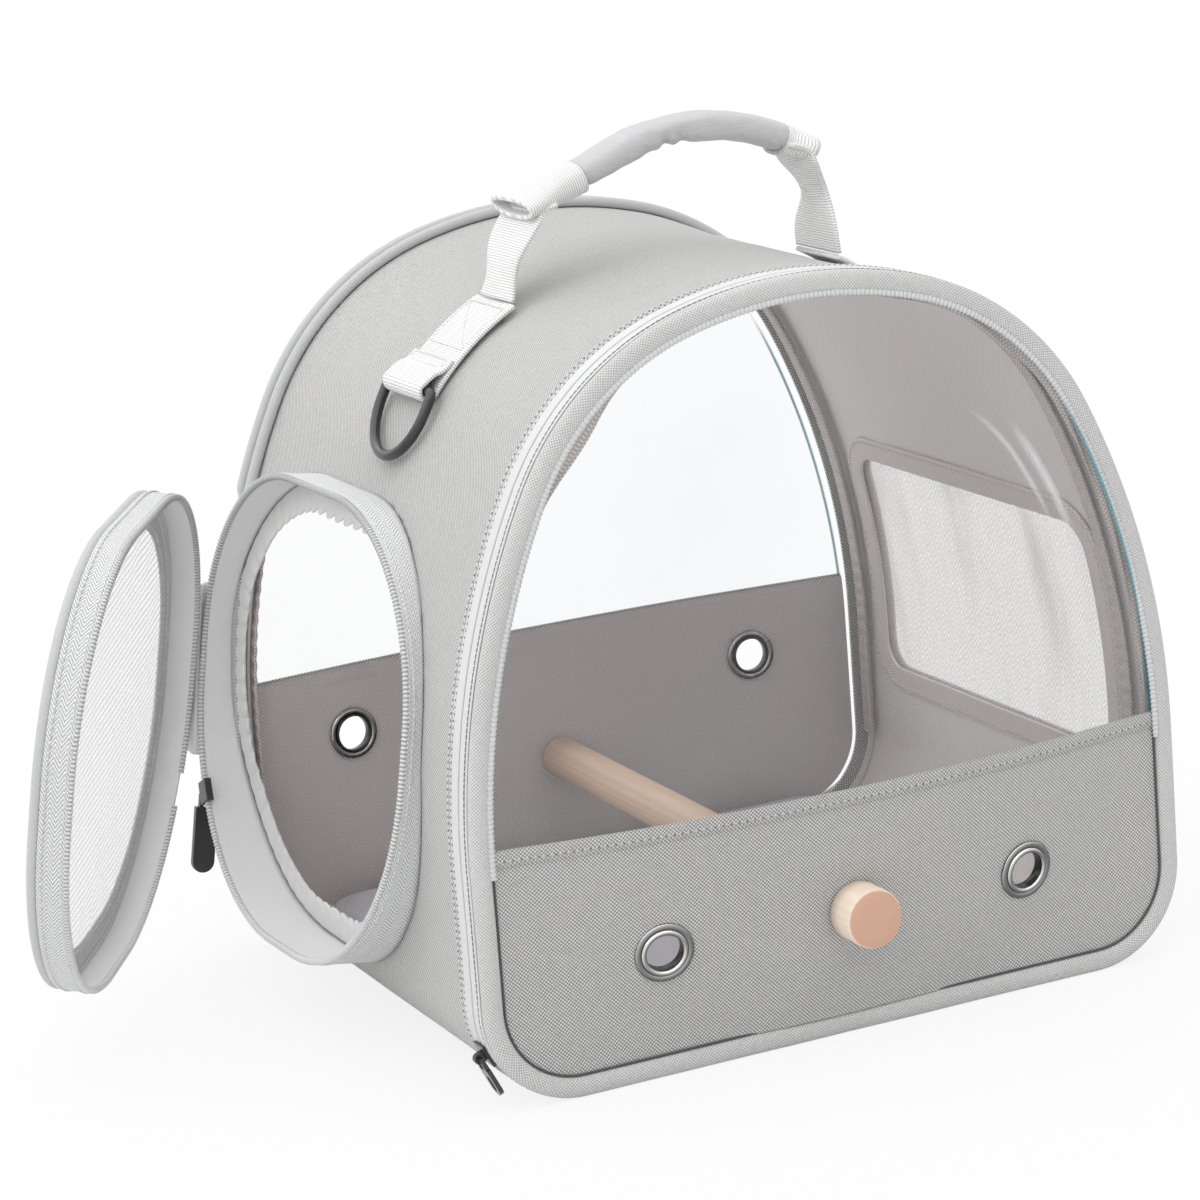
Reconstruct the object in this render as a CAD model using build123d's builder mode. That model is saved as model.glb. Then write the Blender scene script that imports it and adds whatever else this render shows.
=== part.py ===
from build123d import *
from math import asin, cos, degrees, radians, sin, sqrt, tan
import os

# Bird travel carrier: a soft arched cabin with a fold-down clear front, a zipped side door, a perch,
# a floor pad and a webbing handle. Millimetres and degrees. +Z is up and the front faces -Y.
# The origin is the centre of the base's underside. Soft panels are drawn as thin closed solids.

# Driving dimensions of the cabin
half_width = 150.0           # centre plane to the rim line, where the front panel meets its piping
cabin_depth = 263.0          # front rim plane to rear rim plane
wall_offset = 8.0            # outer face of the walls, outside the rim line
wall_thickness = 3.0
corner_radius = 32.5         # lower corners of the rim line
straight_top = 97.3          # height where the upright side starts to lean in
side_radius = 313.0
side_angle = 26.4
shoulder_radius = 108.7
shoulder_angle = 73.9
seam_gap = 0.3               # play between soft pieces that lie on each other

# Front and rear panels
panel_thickness = 1.5
window_thickness = 0.8
front_bulge = 18.0           # how far the front panel's middle stands out of its rim
rear_bulge = 10.0
bulge_reach = 156.0          # distance from the bulge's middle to where it meets the rim plane
front_band_top = 104.0
rear_band_top = 114.0
hem_depth = 9.0              # turned hem along the top edge of each band
hem_thickness = 1.2

# Edge trims
piping_radius = 2.5
piping_offset = 2.8          # centre of the piping, outside the rim line
tape_depth = 7.5             # pale tape between the piping and the zip
tape_thickness = 1.2
coil_width = 1.9
coil_height = 2.0
coil_gap = 1.0               # slot between the two coils, where the slider's post runs
zip_tape_width = 5.5
cord_radius = 2.4
trim_sides = 6               # flats round each piping, cord and wire
round_sides = 16             # flats round each eyelet, washer and screw
rear_gusset_depth = 11.0
hoop_radius = 1.2
zip_end_angle = 212.0        # where the front zip stops on the lower corners, from +X about the corner

# Front fold and perch
fold_height = 3.0
eyelet_spacing = 164.0
eyelet_height = 52.0
eyelet_outer_radius = 12.4
eyelet_bore_radius = 7.6
eyelet_barrel_wall = 1.0
eyelet_rim = 1.6
rear_eyelet_spacing = 200.0
rear_eyelet_height = 84.0
perch_height = 54.0
perch_radius = 9.0
knob_radius = 12.0
knob_length = 15.0
knob_bevel = 1.2
peg_radius = 4.0
peg_length = 10.0
peg_play = 1.2
screw_radius = 2.0
screw_length = 22.0
screw_head_radius = 5.0
screw_head_height = 2.4
washer_radius = 11.0
washer_thickness = 1.5

# Floor
board_thickness = 3.0
board_overhang = 2.5         # board beyond the flat of the base, on each side
floor_end_play = 6.0         # between the floor pieces and the cabin's ends
mat_thickness = 11.0
mat_overhang = 10.5          # mat beyond the flat of the base, where its edge turns up
mat_corner = 16.0

# Side window in the right wall
side_window_middle_z = 127.0
side_window_height = 106.0
side_window_margin = 12.0    # left free at each end for the binding and the lining sleeves
side_window_corner = 16.0
mesh_thickness = 0.8
binding_width = 8.0
binding_thickness = 1.4

# Side door in the left wall. Its rim lies in a plane that leans in with the wall.
door_stand_off = 10.0        # rim plane outside the upright wall, at the door's middle
door_middle_y = 20.5
door_middle_z = 128.0
door_lean = 9.6
door_yaw = 1.7
door_half_length = 106.0
door_half_height = 97.5
door_top_radius = 82.0
door_bottom_radius = 94.0
collar_thickness = 2.2
ruffle_width = 12.0
ruffle_thickness = 1.6
door_gap = 1.2               # between the collar's coil and the door's coil when shut
door_depth = 12.0
door_piping_radius = 2.3
door_binding_width = 11.0
door_binding_thickness = 1.2
door_hinge_lean = 3.0
door_hinge_reach = 38.0      # half the height of the fabric hinge
door_hinge_thickness = 1.0
hinge_inset = 6.0
hinge_fold_radius = 0.4
hinge_fold_play = 0.35
hinge_fold_reach = 3.0       # half the height of the fold where the hinge's two strips meet
door_rest_angle = 35.0       # how far the door stands open

# Handle
handle_y = -6.0
webbing_width = 38.0
webbing_thickness = 2.2
ring_bar_angle = 38.5        # D-ring's bar on the shoulder, above the horizontal
fold_back_angle = 46.0       # where the folded-back end of the webbing is sewn down
handle_high_angle = 62.0     # where the webbing leaves the roof
fold_left_x = 64.0           # folds where the legs turn into the grip
fold_left_z = 331.0
fold_right_x = 69.0
fold_right_z = 339.5
bend_x = 34.0                # the grip dips at the left and arches over its crown
bend_z = 339.0
crown_x = 18.0
crown_top = 360.5
grip_bend_radius = 90.0
sleeve_left_x = 38.0
sleeve_right_x = 65.0
grip_width = 24.0
grip_thickness = 15.0
ring_wire_radius = 2.2
ring_inner_width = 40.0
ring_drop = 30.0
loop_wall = 2.0

# Zip sliders and pulls
slider_length = 10.0
slider_width = 8.4
slider_plate = 1.2
slider_post = 0.6
slider_clearance = 0.3
slider_angle = 206.0         # place of the front slider on the lower left corner
bail_radius = 2.2
bail_width = 2.4
pull_arm = 1.6
fork_play = 0.5              # between the bail and each arm of the pull's fork
fork_depth = 2.6             # fork below the bail
pull_pin_radius = 0.8
pin_play = 0.15
front_pull_length = 18.0
front_pull_width = 8.0
front_pull_thickness = 1.8
door_pull_length = 34.0
door_pull_width = 10.0
door_pull_thickness = 2.4
door_slider_drop = 52.0      # door slider below the middle of the door

# Derived places
front_y = -cabin_depth / 2
rear_y = cabin_depth / 2
rim_bottom = wall_offset
flat_half = half_width - corner_radius
corner_height = rim_bottom + corner_radius
side_x = half_width - side_radius
side_turn = radians(side_angle)
shoulder_turn = radians(shoulder_angle)
shoulder_x = side_x + (side_radius - shoulder_radius) * cos(side_turn)
shoulder_z = straight_top + (side_radius - shoulder_radius) * sin(side_turn)
crown_radius = shoulder_radius + shoulder_x / cos(shoulder_turn)
crown_z = shoulder_z - shoulder_x * tan(shoulder_turn)
wall_inner = wall_offset - wall_thickness
door_rim_x = half_width + wall_offset + door_stand_off
tape_rear = front_y + tape_depth
coil_front = tape_rear
coil_split = coil_front + coil_width
shell_coil_front = coil_split + coil_gap
shell_coil_rear = shell_coil_front + coil_width
wall_front = shell_coil_rear + zip_tape_width
wall_rear = rear_y - rear_gusset_depth
front_seam = front_y + piping_radius + 0.1    # turned seam allowance behind each piping
rear_seam = rear_y - piping_radius - 0.1
beyond = 400.0               # longer than anything it has to cut


def across(y):
    """Plane square to Y at depth y, seen from the front: local x is X and local y is Z."""
    return Plane(origin=(0, y, 0), x_dir=(1, 0, 0), z_dir=(0, -1, 0))


def arch_points(offset):
    """Corners between the arcs of the cabin's outline, on the right, offset outwards."""
    side = side_radius + offset
    shoulder = shoulder_radius + offset
    crown = crown_radius + offset
    return [
        (flat_half, rim_bottom - offset),
        (half_width + offset, corner_height),
        (half_width + offset, straight_top),
        (side_x + side * cos(side_turn), straight_top + side * sin(side_turn)),
        (shoulder_x + shoulder * cos(shoulder_turn), shoulder_z + shoulder * sin(shoulder_turn)),
        (0, crown_z + crown),
    ]


def arch_wire(offset):
    """Closed outline of the cabin: flat base, round corners, leaning sides, shoulders and crown."""
    base, corner, upright, lean, shoulder, top = arch_points(offset)
    with BuildLine() as outline:
        Line((0, base[1]), base)
        RadiusArc(base, corner, -(corner_radius + offset))
        Line(corner, upright)
        RadiusArc(upright, lean, -(side_radius + offset))
        RadiusArc(lean, shoulder, -(shoulder_radius + offset))
        RadiusArc(shoulder, top, -(crown_radius + offset))
        mirror(about=Plane.YZ)
    return outline.wire()


def arch_face(offset):
    return make_face(arch_wire(offset).edges()).face()


def arch_ring(outer, inner, start_y, end_y):
    """Ring between two offsets of the cabin's outline, from one depth to another."""
    with BuildPart() as ring:
        with BuildSketch(across(end_y)):
            add(arch_face(outer))
            add(arch_face(inner), mode=Mode.SUBTRACT)
        extrude(amount=end_y - start_y)
    return ring.part


def arch_solid(offset, start_y, end_y):
    with BuildPart() as block:
        with BuildSketch(across(end_y)):
            add(arch_face(offset))
        extrude(amount=end_y - start_y)
    return block.part


def arch_tube(offset, y, radius):
    """Piping all along the cabin's outline at one depth, with a many-sided section."""
    with BuildPart() as tube:
        path = arch_wire(offset)
        placed = across(y).from_local_coords(path)
        with BuildSketch(Plane(origin=placed @ 0, z_dir=placed % 0)):
            RegularPolygon(radius, side_count=trim_sides)
        sweep(path=placed)
    return tube.part


def seam_point(reach, side):
    """Point on the seam between a side wall and the roof, at a radius from the side arc's centre."""
    return (side * (side_x + reach * cos(side_turn)), straight_top + reach * sin(side_turn))


def side_region(side):
    """Region of the cross-section that belongs to one side wall."""
    low = seam_point(side_radius - beyond / 4, side)
    high = seam_point(side_radius + beyond / 4, side)
    with BuildSketch() as region:
        with BuildLine():
            Polyline(
                (side * flat_half, -beyond / 8), (side * flat_half, low[1]), low, high,
                (side * beyond, high[1]), (side * beyond, -beyond / 8), close=True,
            )
        make_face()
    return region.sketch


def roof_region():
    """Region of the cross-section above both seams."""
    with BuildSketch() as region:
        with BuildLine():
            Polyline(
                seam_point(side_radius - beyond / 4, 1), seam_point(side_radius + beyond / 4, 1),
                (beyond, beyond), (-beyond, beyond),
                seam_point(side_radius + beyond / 4, -1), seam_point(side_radius - beyond / 4, -1),
                close=True,
            )
        make_face()
    return region.sketch


def bulge_sphere(rim_y, outward, bulge):
    """Radius and centre of the sphere that a bulging panel lies on."""
    radius = (bulge_reach**2 + bulge**2) / (2 * bulge)
    return radius, rim_y + outward * (bulge - radius)


def bulge_middle():
    return rim_bottom + bulge_reach - wall_offset


def panel_y(rim_y, outward, bulge, x, z):
    """Depth of a bulging panel's outer face at x and z."""
    radius, centre = bulge_sphere(rim_y, outward, bulge)
    away = x**2 + (z - bulge_middle()) ** 2
    return centre + outward * sqrt(radius**2 - away)


def bulging_panel(rim_y, outward, bulge, thickness, low_z, high_z):
    """Thin panel inside the rim line: a shallow dome that runs flat into the rim, between two heights."""
    radius, centre = bulge_sphere(rim_y, outward, bulge)
    with BuildPart() as panel:
        with Locations((0, centre, bulge_middle())):
            Sphere(radius)
        with Locations((0, rim_y - outward * thickness / 2, bulge_middle())):
            Box(beyond, thickness, beyond)
        with Locations((0, centre, bulge_middle())):
            Sphere(radius - thickness, mode=Mode.SUBTRACT)
        near = min(rim_y + outward * (bulge + 1), rim_y - outward * thickness)
        far = max(rim_y + outward * (bulge + 1), rim_y - outward * thickness)
        add(arch_solid(0, near, far), mode=Mode.INTERSECT)
        with Locations((0, (near + far) / 2, (low_z + high_z) / 2)):
            Box(beyond, beyond, high_z - low_z, mode=Mode.INTERSECT)
    return panel.part


def panel_spot(rim_y, outward, bulge, x, z):
    """Plane on a bulging panel's outer face, facing out of the cabin."""
    radius, centre = bulge_sphere(rim_y, outward, bulge)
    spot = Vector(x, panel_y(rim_y, outward, bulge, x, z), z)
    normal = (spot - Vector(0, centre, bulge_middle())).normalized()
    return Plane(origin=spot, x_dir=(1, 0, 0), z_dir=normal)


def save(piece, label):
    piece.part.label = label
    export_step(piece.part, f"parts/{label}.step")


os.makedirs("parts", exist_ok=True)

# Door planes: the rim plane of the collar, and the same plane swung open about the hinge
rim_out = Vector(-1, -tan(radians(door_yaw)), tan(radians(door_lean))).normalized()
rim_forward = Vector(tan(radians(door_yaw)), -1, 0).normalized()
rim_middle = Vector(-door_rim_x, door_middle_y, door_middle_z)
rim_plane = Plane(origin=rim_middle, x_dir=rim_forward, z_dir=rim_out)
hinge_axis = Axis((0, 0, 0), (-sin(radians(door_hinge_lean)), 0, cos(radians(door_hinge_lean))))
hinge_point = rim_plane.from_local_coords(Vector(-door_half_length - door_hinge_thickness / 2, 0, door_gap / 2))


def swung(vector):
    return vector.rotate(hinge_axis, -door_rest_angle)


door_origin = hinge_point + swung(rim_middle - hinge_point)
door_plane = Plane(origin=door_origin, x_dir=swung(rim_forward), z_dir=swung(rim_out))


def door_outline(offset):
    """Door outline in its own plane: round top corners and larger round lower corners."""
    half_length = door_half_length + offset
    half_height = door_half_height + offset
    limit = min(half_length, half_height) - 1
    top = min(door_top_radius + offset, limit)
    bottom = min(door_bottom_radius + offset, limit)
    with BuildLine() as outline:
        Line((0, -half_height), (half_length - bottom, -half_height))
        RadiusArc((half_length - bottom, -half_height), (half_length, bottom - half_height), -bottom)
        Line((half_length, bottom - half_height), (half_length, half_height - top))
        RadiusArc((half_length, half_height - top), (half_length - top, half_height), -top)
        Line((half_length - top, half_height), (0, half_height))
        mirror(about=Plane.YZ)
    return outline.wire()


def door_face(offset):
    return make_face(door_outline(offset).edges()).face()


def door_ring(plane, outer, inner, low, high):
    """Ring between two offsets of the door's outline, between two distances out of a plane."""
    with BuildPart() as ring:
        with BuildSketch(plane.offset(low)):
            add(door_face(outer))
            add(door_face(inner), mode=Mode.SUBTRACT)
        extrude(amount=high - low)
    return ring.part


# Cabin: base, walls and roof
with BuildPart() as base_panel:
    add(arch_ring(wall_offset, wall_inner, wall_front, wall_rear))
    with Locations((0, 0, rim_bottom)):
        Box(2 * flat_half, beyond, 2 * corner_radius, mode=Mode.INTERSECT)
save(base_panel, "base_panel")

with BuildPart() as left_wall:
    add(arch_ring(wall_offset, wall_inner, wall_front, wall_rear))
    with BuildSketch(across(rear_y)):
        add(side_region(-1))
    extrude(amount=cabin_depth, mode=Mode.INTERSECT)
    with BuildSketch(rim_plane.offset(-beyond / 4)):
        add(door_face(-collar_thickness - seam_gap))
    extrude(amount=beyond / 3, mode=Mode.SUBTRACT)
save(left_wall, "left_wall")

sleeve_depth = 6 * hoop_radius
side_window_front = wall_front + sleeve_depth + side_window_margin
side_window_rear = wall_rear - sleeve_depth - side_window_margin
side_window_length = side_window_rear - side_window_front


def side_window_cut(grow):
    """Plain block through the right wall, shaped like its window and grown by a margin."""
    with BuildPart() as block:
        middle = (half_width / 2, (side_window_front + side_window_rear) / 2, side_window_middle_z)
        with BuildSketch(Plane(origin=middle, x_dir=(0, 1, 0), z_dir=(1, 0, 0))):
            RectangleRounded(
                side_window_length + 2 * grow, side_window_height + 2 * grow, side_window_corner + grow
            )
        extrude(amount=beyond / 2)
    return block.part


with BuildPart() as right_wall:
    add(arch_ring(wall_offset, wall_inner, wall_front, wall_rear))
    with BuildSketch(across(rear_y)):
        add(side_region(1))
    extrude(amount=cabin_depth, mode=Mode.INTERSECT)
    add(side_window_cut(0), mode=Mode.SUBTRACT)
save(right_wall, "right_wall")

with BuildPart() as roof_panel:
    add(arch_ring(wall_offset, wall_inner, wall_front, wall_rear))
    with BuildSketch(across(rear_y)):
        add(roof_region())
    extrude(amount=cabin_depth, mode=Mode.INTERSECT)
save(roof_panel, "roof_panel")

# Side window: mesh inside the opening, held by a binding on the wall's inner face
mesh_offset = wall_inner + mesh_thickness
with BuildPart() as side_mesh:
    add(arch_ring(mesh_offset, wall_inner, wall_front, wall_rear))
    add(side_window_cut(-seam_gap), mode=Mode.INTERSECT)
save(side_mesh, "side_mesh")

binding_offset = wall_inner - seam_gap
with BuildPart() as side_mesh_binding:
    add(arch_ring(binding_offset, binding_offset - binding_thickness, wall_front, wall_rear))
    add(side_window_cut(binding_width), mode=Mode.INTERSECT)
    add(side_window_cut(-binding_width / 2), mode=Mode.SUBTRACT)
save(side_mesh_binding, "side_mesh_binding")

# Rear end: gusset, twin pipings, lower band and clear window
with BuildPart() as rear_gusset:
    add(arch_ring(wall_offset, wall_offset - tape_thickness, wall_rear, rear_seam))
    add(arch_ring(wall_offset, seam_gap, rear_seam - tape_thickness, rear_seam))
save(rear_gusset, "rear_gusset")

with BuildPart() as rear_piping:
    add(arch_tube(piping_offset, rear_y, piping_radius))
save(rear_piping, "rear_piping")

with BuildPart() as rear_cord:
    add(arch_tube(wall_offset + cord_radius, wall_rear, cord_radius))
    # The cord starts and ends at the lower corners, so that the base lies flat, and stops at the door
    with Locations((0, wall_rear, 0)):
        Box(beyond, beyond, 2 * corner_height, mode=Mode.SUBTRACT)
    with BuildSketch(rim_plane.offset(-beyond / 4)):
        add(door_face(door_hinge_thickness + 2 * seam_gap))
    extrude(amount=beyond / 2, mode=Mode.SUBTRACT)
save(rear_cord, "rear_cord")

rear_spots = [
    panel_spot(rear_y, 1, rear_bulge, side * rear_eyelet_spacing / 2, rear_eyelet_height) for side in (-1, 1)
]
with BuildPart() as rear_band:
    add(bulging_panel(rear_y, 1, rear_bulge, panel_thickness, 0, rear_band_top))
    for spot in rear_spots:
        with BuildSketch(spot.offset(-beyond / 20)):
            RegularPolygon(eyelet_bore_radius + eyelet_barrel_wall + seam_gap / 2, side_count=round_sides)
        extrude(amount=beyond / 10, mode=Mode.SUBTRACT)
    with BuildSketch(across(rear_y + 2 * rear_bulge)):
        with Locations((0, perch_height)):
            RegularPolygon(screw_radius + seam_gap / 2, side_count=round_sides)
    extrude(amount=4 * rear_bulge, mode=Mode.SUBTRACT)
save(rear_band, "rear_band")

with BuildPart() as rear_window:
    add(bulging_panel(rear_y, 1, rear_bulge, window_thickness, rear_band_top, beyond))
save(rear_window, "rear_window")

# Front end that stays on the cabin: zip tape and its coil, boning hoop and gathered lining edge
slider_radius = corner_radius + wall_offset


def above_zip_ends():
    """Block that holds everything above the two ends of the front zip."""
    end_z = corner_height + slider_radius * sin(radians(zip_end_angle))
    with BuildPart() as block:
        with Locations((0, 0, end_z)):
            Box(2 * beyond, 2 * beyond, beyond, align=(Align.CENTER, Align.CENTER, Align.MIN))
    return block.part


with BuildPart() as front_zip_tape:
    add(arch_ring(wall_offset, wall_offset - tape_thickness, shell_coil_front, wall_front))
save(front_zip_tape, "front_zip_tape")

with BuildPart() as front_zip_coil_cabin:
    add(arch_ring(
        wall_offset - tape_thickness - 0.1, wall_offset - tape_thickness - 0.1 - coil_height,
        shell_coil_front, shell_coil_rear,
    ))
    add(above_zip_ends(), mode=Mode.INTERSECT)
save(front_zip_coil_cabin, "front_zip_coil_cabin")

hoop_offset = wall_inner - seam_gap - hoop_radius
for hoop_name, hoop_y in (("front_hoop", wall_front + 3 * hoop_radius), ("rear_hoop", wall_rear - 3 * hoop_radius)):
    with BuildPart() as hoop:
        add(arch_tube(hoop_offset, hoop_y, hoop_radius))
        with Locations((0, hoop_y, 0)):
            Box(beyond, beyond, 2 * corner_height, mode=Mode.SUBTRACT)
    save(hoop, hoop_name)

lining_outer = wall_inner - 2 * seam_gap - 2 * hoop_radius
for sleeve_name, sleeve_y in (("front_lining_sleeve", wall_front), ("rear_lining_sleeve", wall_rear - sleeve_depth)):
    with BuildPart() as sleeve:
        add(arch_ring(lining_outer, lining_outer - binding_thickness, sleeve_y, sleeve_y + sleeve_depth))
        with Locations((0, sleeve_y, 0)):
            Box(beyond, beyond, 2 * corner_height, mode=Mode.SUBTRACT)
    save(sleeve, sleeve_name)

# Fold-down front panel
with BuildPart() as front_piping:
    add(arch_tube(piping_offset, front_y, piping_radius))
save(front_piping, "front_piping")

with BuildPart() as front_gusset:
    add(arch_ring(wall_offset, wall_offset - tape_thickness, front_seam, coil_split))
    add(arch_ring(wall_offset, seam_gap, front_seam, front_seam + tape_thickness))
    with Locations((0, front_y, 0)):
        Box(beyond, beyond, 2 * fold_height, mode=Mode.SUBTRACT)
save(front_gusset, "front_gusset")

with BuildPart() as front_zip_coil_panel:
    add(arch_ring(
        wall_offset - tape_thickness - 0.1, wall_offset - tape_thickness - 0.1 - coil_height,
        coil_front, coil_split,
    ))
    add(above_zip_ends(), mode=Mode.INTERSECT)
save(front_zip_coil_panel, "front_zip_coil_panel")

front_spots = [
    panel_spot(front_y, -1, front_bulge, side * eyelet_spacing / 2, eyelet_height) for side in (-1, 1)
]
with BuildPart() as front_band:
    add(bulging_panel(front_y, -1, front_bulge, panel_thickness, 0, front_band_top))
    for spot in front_spots:
        with BuildSketch(spot.offset(-beyond / 20)):
            RegularPolygon(eyelet_bore_radius + eyelet_barrel_wall + seam_gap / 2, side_count=round_sides)
        extrude(amount=beyond / 10, mode=Mode.SUBTRACT)
    with BuildSketch(across(front_y + front_bulge)):
        with Locations((0, perch_height)):
            Circle(peg_radius + seam_gap)
    extrude(amount=3 * front_bulge, mode=Mode.SUBTRACT)
save(front_band, "front_band")

with BuildPart() as front_window:
    add(bulging_panel(front_y, -1, front_bulge, window_thickness, front_band_top, beyond))
save(front_window, "front_window")


def eyelet_set(spots):
    """Eyelets pressed through a panel: a bevelled flange outside and a barrel that goes through."""
    with BuildPart() as eyelets:
        for spot in spots:
            with BuildSketch(spot.offset(seam_gap / 3)):
                RegularPolygon(eyelet_outer_radius, side_count=round_sides)
            extrude(amount=eyelet_rim, taper=45)
            with BuildSketch(spot.offset(seam_gap / 3)):
                RegularPolygon(eyelet_bore_radius + eyelet_barrel_wall, side_count=round_sides)
            extrude(amount=-(panel_thickness + 3 * seam_gap + washer_thickness))
            with BuildSketch(spot.offset(-beyond / 20)):
                RegularPolygon(eyelet_bore_radius, side_count=round_sides)
            extrude(amount=beyond / 10, mode=Mode.SUBTRACT)
    return eyelets.part


def washer_set(spots):
    """Flat washers behind a panel, round the eyelets' barrels."""
    barrel_outer = eyelet_bore_radius + eyelet_barrel_wall
    with BuildPart() as washers:
        for spot in spots:
            with BuildSketch(spot.offset(-panel_thickness - seam_gap)):
                RegularPolygon(eyelet_outer_radius - eyelet_barrel_wall, side_count=round_sides)
                RegularPolygon(barrel_outer + 0.1, side_count=round_sides, mode=Mode.SUBTRACT)
            extrude(amount=-washer_thickness)
    return washers.part


for place, spots in (("front", front_spots), ("rear", rear_spots)):
    with BuildPart() as eyelets:
        add(eyelet_set(spots))
    save(eyelets, f"{place}_eyelets")
    with BuildPart() as eyelet_washers:
        add(washer_set(spots))
    save(eyelet_washers, f"{place}_eyelet_washers")

# Perch: a dowel screwed to the rear band, and a front knob whose peg plugs into the dowel
knob_rear = panel_y(front_y, -1, front_bulge, 0, perch_height + knob_radius) - seam_gap
washer_front = panel_y(rear_y, 1, rear_bulge, 0, perch_height + washer_radius) + seam_gap
dowel_front = panel_y(front_y, -1, front_bulge, 0, perch_height - perch_radius) + panel_thickness + 2 * seam_gap
dowel_rear = panel_y(rear_y, 1, rear_bulge, 0, perch_height - perch_radius) - panel_thickness - 2 * seam_gap
with BuildPart() as perch:
    with BuildSketch(across(dowel_rear)):
        with Locations((0, perch_height)):
            Circle(perch_radius)
    extrude(amount=dowel_rear - dowel_front)
    chamfer(perch.edges().filter_by(GeomType.CIRCLE), length=0.8)
    with BuildSketch(across(dowel_front)):
        with Locations((0, perch_height)):
            Circle(peg_radius + peg_play)
    extrude(amount=-(peg_length + panel_thickness), mode=Mode.SUBTRACT)
    with BuildSketch(across(dowel_rear)):
        with Locations((0, perch_height)):
            RegularPolygon(screw_radius + 0.05, side_count=round_sides)
    extrude(amount=screw_length, mode=Mode.SUBTRACT)
save(perch, "perch")

with BuildPart() as perch_knob:
    with BuildSketch(across(knob_rear)):
        with Locations((0, perch_height)):
            Circle(knob_radius)
    extrude(amount=knob_length)
    chamfer(perch_knob.edges().filter_by(GeomType.CIRCLE).group_by(Axis.Y)[0], length=knob_bevel)
save(perch_knob, "perch_knob")

with BuildPart() as perch_peg:
    with BuildSketch(across(dowel_front + peg_length)):
        with Locations((0, perch_height)):
            Circle(peg_radius)
    extrude(amount=dowel_front + peg_length - knob_rear)
    chamfer(perch_peg.edges().filter_by(GeomType.CIRCLE).group_by(Axis.Y)[-1], length=1.0)
save(perch_peg, "perch_peg")

with BuildPart() as perch_screw:
    head_y = washer_front + washer_thickness
    with BuildSketch(across(head_y + screw_head_height)):
        with Locations((0, perch_height)):
            RegularPolygon(screw_head_radius, side_count=round_sides)
    extrude(amount=screw_head_height)
    chamfer(perch_screw.edges().group_by(Axis.Y)[-1], length=screw_head_height / 3)
    with BuildSketch(across(head_y)):
        with Locations((0, perch_height)):
            RegularPolygon(screw_radius, side_count=round_sides)
    extrude(amount=head_y - (dowel_rear - screw_length + 1))
save(perch_screw, "perch_screw")

with BuildPart() as perch_washer:
    with BuildSketch(across(head_y)):
        with Locations((0, perch_height)):
            RegularPolygon(washer_radius, side_count=round_sides)
            RegularPolygon(screw_radius + 0.1, side_count=round_sides, mode=Mode.SUBTRACT)
    extrude(amount=washer_thickness)
save(perch_washer, "perch_washer")

# Floor: stiff board on the base panel, and the padded mat on the board
board_low = rim_bottom - wall_inner + seam_gap
with BuildPart() as base_board:
    with BuildSketch(Plane.XY.offset(board_low)):
        RectangleRounded(2 * (flat_half + board_overhang), cabin_depth - 2 * floor_end_play, mat_corner)
    extrude(amount=board_thickness)
save(base_board, "base_board")

mat_low = board_low + board_thickness + seam_gap
with BuildPart() as floor_mat:
    with BuildSketch(Plane.XY.offset(mat_low)):
        RectangleRounded(2 * (flat_half + mat_overhang), cabin_depth - 2 * floor_end_play, mat_corner)
    extrude(amount=mat_thickness)
    chamfer(floor_mat.edges().group_by(Axis.Z)[-1], length=mat_thickness / 4)
    chamfer(floor_mat.edges().group_by(Axis.Z)[0], length=mat_thickness / 4)
save(floor_mat, "floor_mat")

# Side door opening: collar that stands off the wall, its coil, the inner ruffle and the fabric hinge
outside_wall = arch_solid(wall_offset + 0.1, front_y, rear_y)
with BuildPart() as door_collar:
    add(door_ring(rim_plane, 0, -collar_thickness, -beyond / 8, 0))
    add(outside_wall, mode=Mode.SUBTRACT)
save(door_collar, "door_collar")

coil_inner = collar_thickness + 0.1
with BuildPart() as door_zip_coil_cabin:
    add(door_ring(rim_plane, -coil_inner, -coil_inner - coil_height, -coil_width, 0))
    add(outside_wall, mode=Mode.SUBTRACT)
save(door_zip_coil_cabin, "door_zip_coil_cabin")

with BuildPart() as door_ruffle:
    ruffle_top = wall_offset - (wall_thickness - ruffle_thickness) / 2
    add(arch_ring(ruffle_top, ruffle_top - ruffle_thickness, wall_front, wall_rear))
    edge = collar_thickness + 2 * seam_gap
    add(door_ring(rim_plane, -edge, -edge - ruffle_width, -beyond / 4, beyond / 8), mode=Mode.INTERSECT)
    with Locations((beyond / 2, 0, 0)):
        Box(beyond, beyond, 2 * beyond, mode=Mode.SUBTRACT)
save(door_ruffle, "door_ruffle")

# The two strips of the hinge meet in a short fold at their middle, which turns about the hinge's own axis
with BuildPart() as door_hinge_cabin:
    add(door_ring(rim_plane, door_hinge_thickness, 0.1, -hinge_inset, 0))
    with BuildSketch(rim_plane.offset(-beyond / 10)):
        with Locations((-door_half_length, 0)):
            Rectangle(door_half_length, 2 * door_hinge_reach)
    extrude(amount=beyond / 5, mode=Mode.INTERSECT)
    with Locations(rim_plane.location):
        with Locations((-door_half_length - door_hinge_thickness / 2, 0, 0)):
            Box(2 * hinge_fold_radius, 2 * hinge_fold_reach, door_gap - 2 * pin_play)
    with BuildSketch(Plane(origin=hinge_point, z_dir=hinge_axis.direction)):
        Circle(hinge_fold_radius)
    extrude(amount=hinge_fold_reach, both=True)
save(door_hinge_cabin, "door_hinge_cabin")

# Side door, built on its own plane where it stands open
with BuildPart() as door_gusset:
    add(door_ring(door_plane, 0, -collar_thickness, door_gap, door_gap + door_depth))
save(door_gusset, "door_gusset")

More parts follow.
